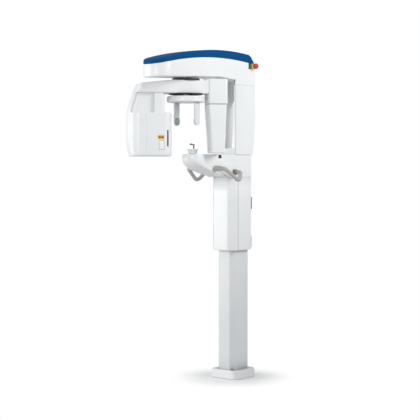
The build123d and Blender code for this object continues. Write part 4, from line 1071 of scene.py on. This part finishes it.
def make_head_support():
    """Round housing with soft edges, two dark slots and two rounded blades with pads."""
    r, soft = 0.124, 0.0085
    foot = [(r - drop, support_low + inset) for inset, drop in quarter(soft, 8)]
    head = [(r - inset, support_high - drop) for inset, drop in quarter(soft, 8)]
    seam = [(r, support_high - 0.0135), (r - 0.0012, support_high - 0.0128), (r, support_high - 0.012)]
    hole = 0.026
    profile = [(0.0, support_low)] + foot + seam + head
    profile += [(hole, support_high), (hole, support_high - 0.01)]
    piece("support_shell", [(on_axis(turned_rows(profile, 128)), True)], "carriage", "white_cover",
          ["head_support_body"])
    middle = axis_y + 0.008
    slots = []
    for _, side in sides:
        plan = box_plan(0.058, 0.104, middle - 0.013, middle + 0.013)
        rows = pillow(plan, 0.004, support_low - 0.0006, support_low + 0.004, 0.0003, 0.0003)
        slots.append(closed_on(side, rows))
    piece("blade_slots", slots, "carriage", "black_plastic")
    low, high = 1.716, support_low - 0.002
    for name, side in sides:
        face = [(middle - 0.0225, low), (middle + 0.0225, low), (middle + 0.025, high),
                (middle - 0.025, high)]
        rows = along_x(pillow(face, [0.0215, 0.0215, 0.002, 0.002], 0.082, 0.094, 0.0035, 0.0035, 14))
        stem_face = box_plan(middle - 0.011, middle + 0.011, high - 0.004, high + 0.03)
        stem = along_x(pillow(stem_face, 0.003, 0.083, 0.093, 0.001, 0.001))
        grids = [closed_on(side, rows), closed_on(side, stem)]
        piece(f"blade_{name}", grids, f"temple_{name}", "grey_plastic", [f"temple_blade_{name}"],
              look="pale_blade")
        pad = box_plan(middle - 0.0205, middle + 0.0205, low + 0.003, low + 0.053)
        rows = along_x(pillow(pad, 0.018, 0.0772, 0.083, 0.0022, 0.0005, 14))
        piece(f"blade_pad_{name}", [closed_on(side, rows)], f"temple_{name}", "rubber",
              look="soft_grey_pad")


# ---- chin rest, handles and controls -----------------------------------------------

chin_y = axis_y + 0.066


def make_chin_rest():
    """Chin block on the shelf with a wide plate on it."""
    foot_top, block_top, plate_top = 1.534, 1.557, 1.564
    foot = pillow(box_plan(-0.017, 0.017, chin_y - 0.02, chin_y + 0.02), 0.012,
                  foot_top - 0.005, foot_top + 0.0005, 0.0003, 0.0003)
    block = pillow(box_plan(-0.022, 0.022, chin_y - 0.025, chin_y + 0.025), 0.007,
                   foot_top, block_top, 0.001, 0.002)
    plan = box_plan(-0.031, 0.031, chin_y - 0.036, chin_y + 0.024)
    plate = pillow(plan, [0.024, 0.024, 0.008, 0.008], block_top - 0.0005, plate_top, 0.002, 0.003, 14)
    dish = np.hypot(plate[..., 0] / 0.024, (plate[..., 1] - chin_y + 0.01) / 0.03)
    plate[..., 2] -= 0.0015 * (plate[..., 2] > plate_top - 0.002) * np.clip(1.0 - dish, 0.0, 1.0)
    grids = [(capped(g), True) for g in (block, foot, plate)]
    piece("chin_block", grids, "carriage", "clear_plastic", ["chin_rest"], look="white_cover")


def make_handles():
    """Round bar swept along straight runs joined by arcs, a long cone at its front end."""
    front_y, front_z, back_y, back_z = -0.272, 1.436, -0.098, 1.412
    corners = [(0.066, front_y, front_z), (0.16, front_y, front_z), (0.188, -0.148, 1.348),
               (0.154, back_y, back_z), (0.112, back_y, back_z)]
    path = even(rounded(corners, [0.0, 0.02, 0.034, 0.016, 0.0], 16, closed=False), 150)
    along = np.concatenate([[0.0], np.cumsum(np.linalg.norm(np.diff(path, axis=0), axis=1))])
    cone = [0.0, 0.012, 0.068, 0.078, 0.09], [0.0205, 0.0202, 0.0152, 0.0132, 0.0127]
    bar = tube_rows(path, np.interp(along, *cone), 36, (0.1, 0.2, 1.0))
    half = 0.018
    face = box_plan(back_y - half, back_y + half, back_z - half, back_z + half)
    boss = along_x(pillow(face, 0.008, 0.1, 0.1175, 0.0005, 0.003, 8))
    for name, side in sides:
        piece(f"grip_{name}", [closed_on(side, bar)], "carriage", "grey_handle", [f"handle_{name}"])
        piece(f"grip_boss_{name}", [closed_on(side, boss)], "carriage", "grey_handle", look="dark_boss")


def make_buttons():
    """Raised bezel on the shelf's flank with two keys in it."""
    low, high = span("button_bezel", Y)
    bottom, top = span("button_bezel", Z)
    face = box_plan(low, high, bottom, top)
    out = span("button_bezel", X)[1]
    rows = along_x(pillow(face, 0.004, 0.088, out, 0.0005, 0.0014))
    piece("key_bezel", [(capped(rows), True)], "carriage", "black_plastic", ["button_bezel"])
    for node, body in (("up_button", "up_key"), ("down_button", "down_key")):
        face = box_plan(*span(node, Y), *span(node, Z))
        rows = along_x(pillow(face, 0.0025, *span(node, X), 0.0005, 0.001))
        piece(f"{body}_cap", [(capped(rows), True)], body, slot_of[node], [node])


def turned_on_x(profile, y, z):
    """A profile of radius and X spun about a line along X."""
    return along_x(turned_rows(profile)) + (0.0, y, z)


def make_switches():
    """Framed rocker switch and a mushroom-headed stop on the arm's right side."""
    switch_y, stop_y, level = 0.065, 0.099, sum(span("switch_panel", Z)) / 2
    face = spine_half
    outer = box_plan(switch_y - 0.011, switch_y + 0.011, level - 0.02, level + 0.02)
    rows = list(pillow(outer, 0.003, face, face + 0.005, 0.0003, 0.0012))
    for x, inset in ((face + 0.005, 0.0028), (face + 0.0047, 0.003), (face + 0.001, 0.003)):
        loop = rounded(drawn_in(outer, inset), 0.001, 8)
        rows.append(level_row(loop, x))
    piece("switch_frame", [(capped(along_x(np.array(rows))), True)], "carriage", "black_plastic",
          ["switch_panel"])
    base = [(0.0, face), (0.02, face), (0.02, face + 0.0145), (0.0194, face + 0.0158),
            (0.0175, face + 0.0178), (0.0168, face + 0.018), (0.0095, face + 0.018),
            (0.0093, face + 0.0175), (0.0093, face + 0.004), (0.0, face + 0.004)]
    piece("stop_ring", [(turned_on_x(base, stop_y, level), True)], "carriage", "yellow_plastic")
    t = np.linspace(0.0, np.pi / 2, 10)
    dome = [(0.0105 + 0.0085 * math.cos(a), face + 0.0305 + 0.0093 * math.sin(a)) for a in t]
    head = [(0.0, face + 0.009), (0.009, face + 0.009), (0.009, face + 0.024), (0.0175, face + 0.0242),
            (0.019, face + 0.0258)] + dome + [(0.0, face + 0.04)]
    piece("stop_mushroom", [(turned_on_x(head, stop_y, level), True)], "stop_head", "red_plastic",
          ["emergency_stop"])


# ---- the scene ---------------------------------------------------------------------

make_camera()
make_world()
make_floor()
softbox("front_left", (-4.2, -4.6, 1.9), (0.0, -0.3, 1.2), (3.0, 3.4), 172.0)
softbox("right_high", (3.6, 0.8, 3.4), (0.05, -0.1, 1.9), (1.6, 1.6), 10.0, 55.0)
softbox("front_fill", (1.6, -5.0, 2.2), (0.15, -0.2, 1.75), (1.2, 1.2), 3.2, 40.0)
bpy.context.scene.view_settings.view_transform = "Standard"
finish_cad_nodes()
for make in (
    make_base, make_column, make_column_covers, make_shelf, make_spine, make_arm, make_cap,
    make_beam, make_band, make_tube_head, make_neck, make_sensor_head, make_tube_head_details,
    make_collar, make_head_support, make_chin_rest, make_handles, make_buttons, make_switches,
):
    make()
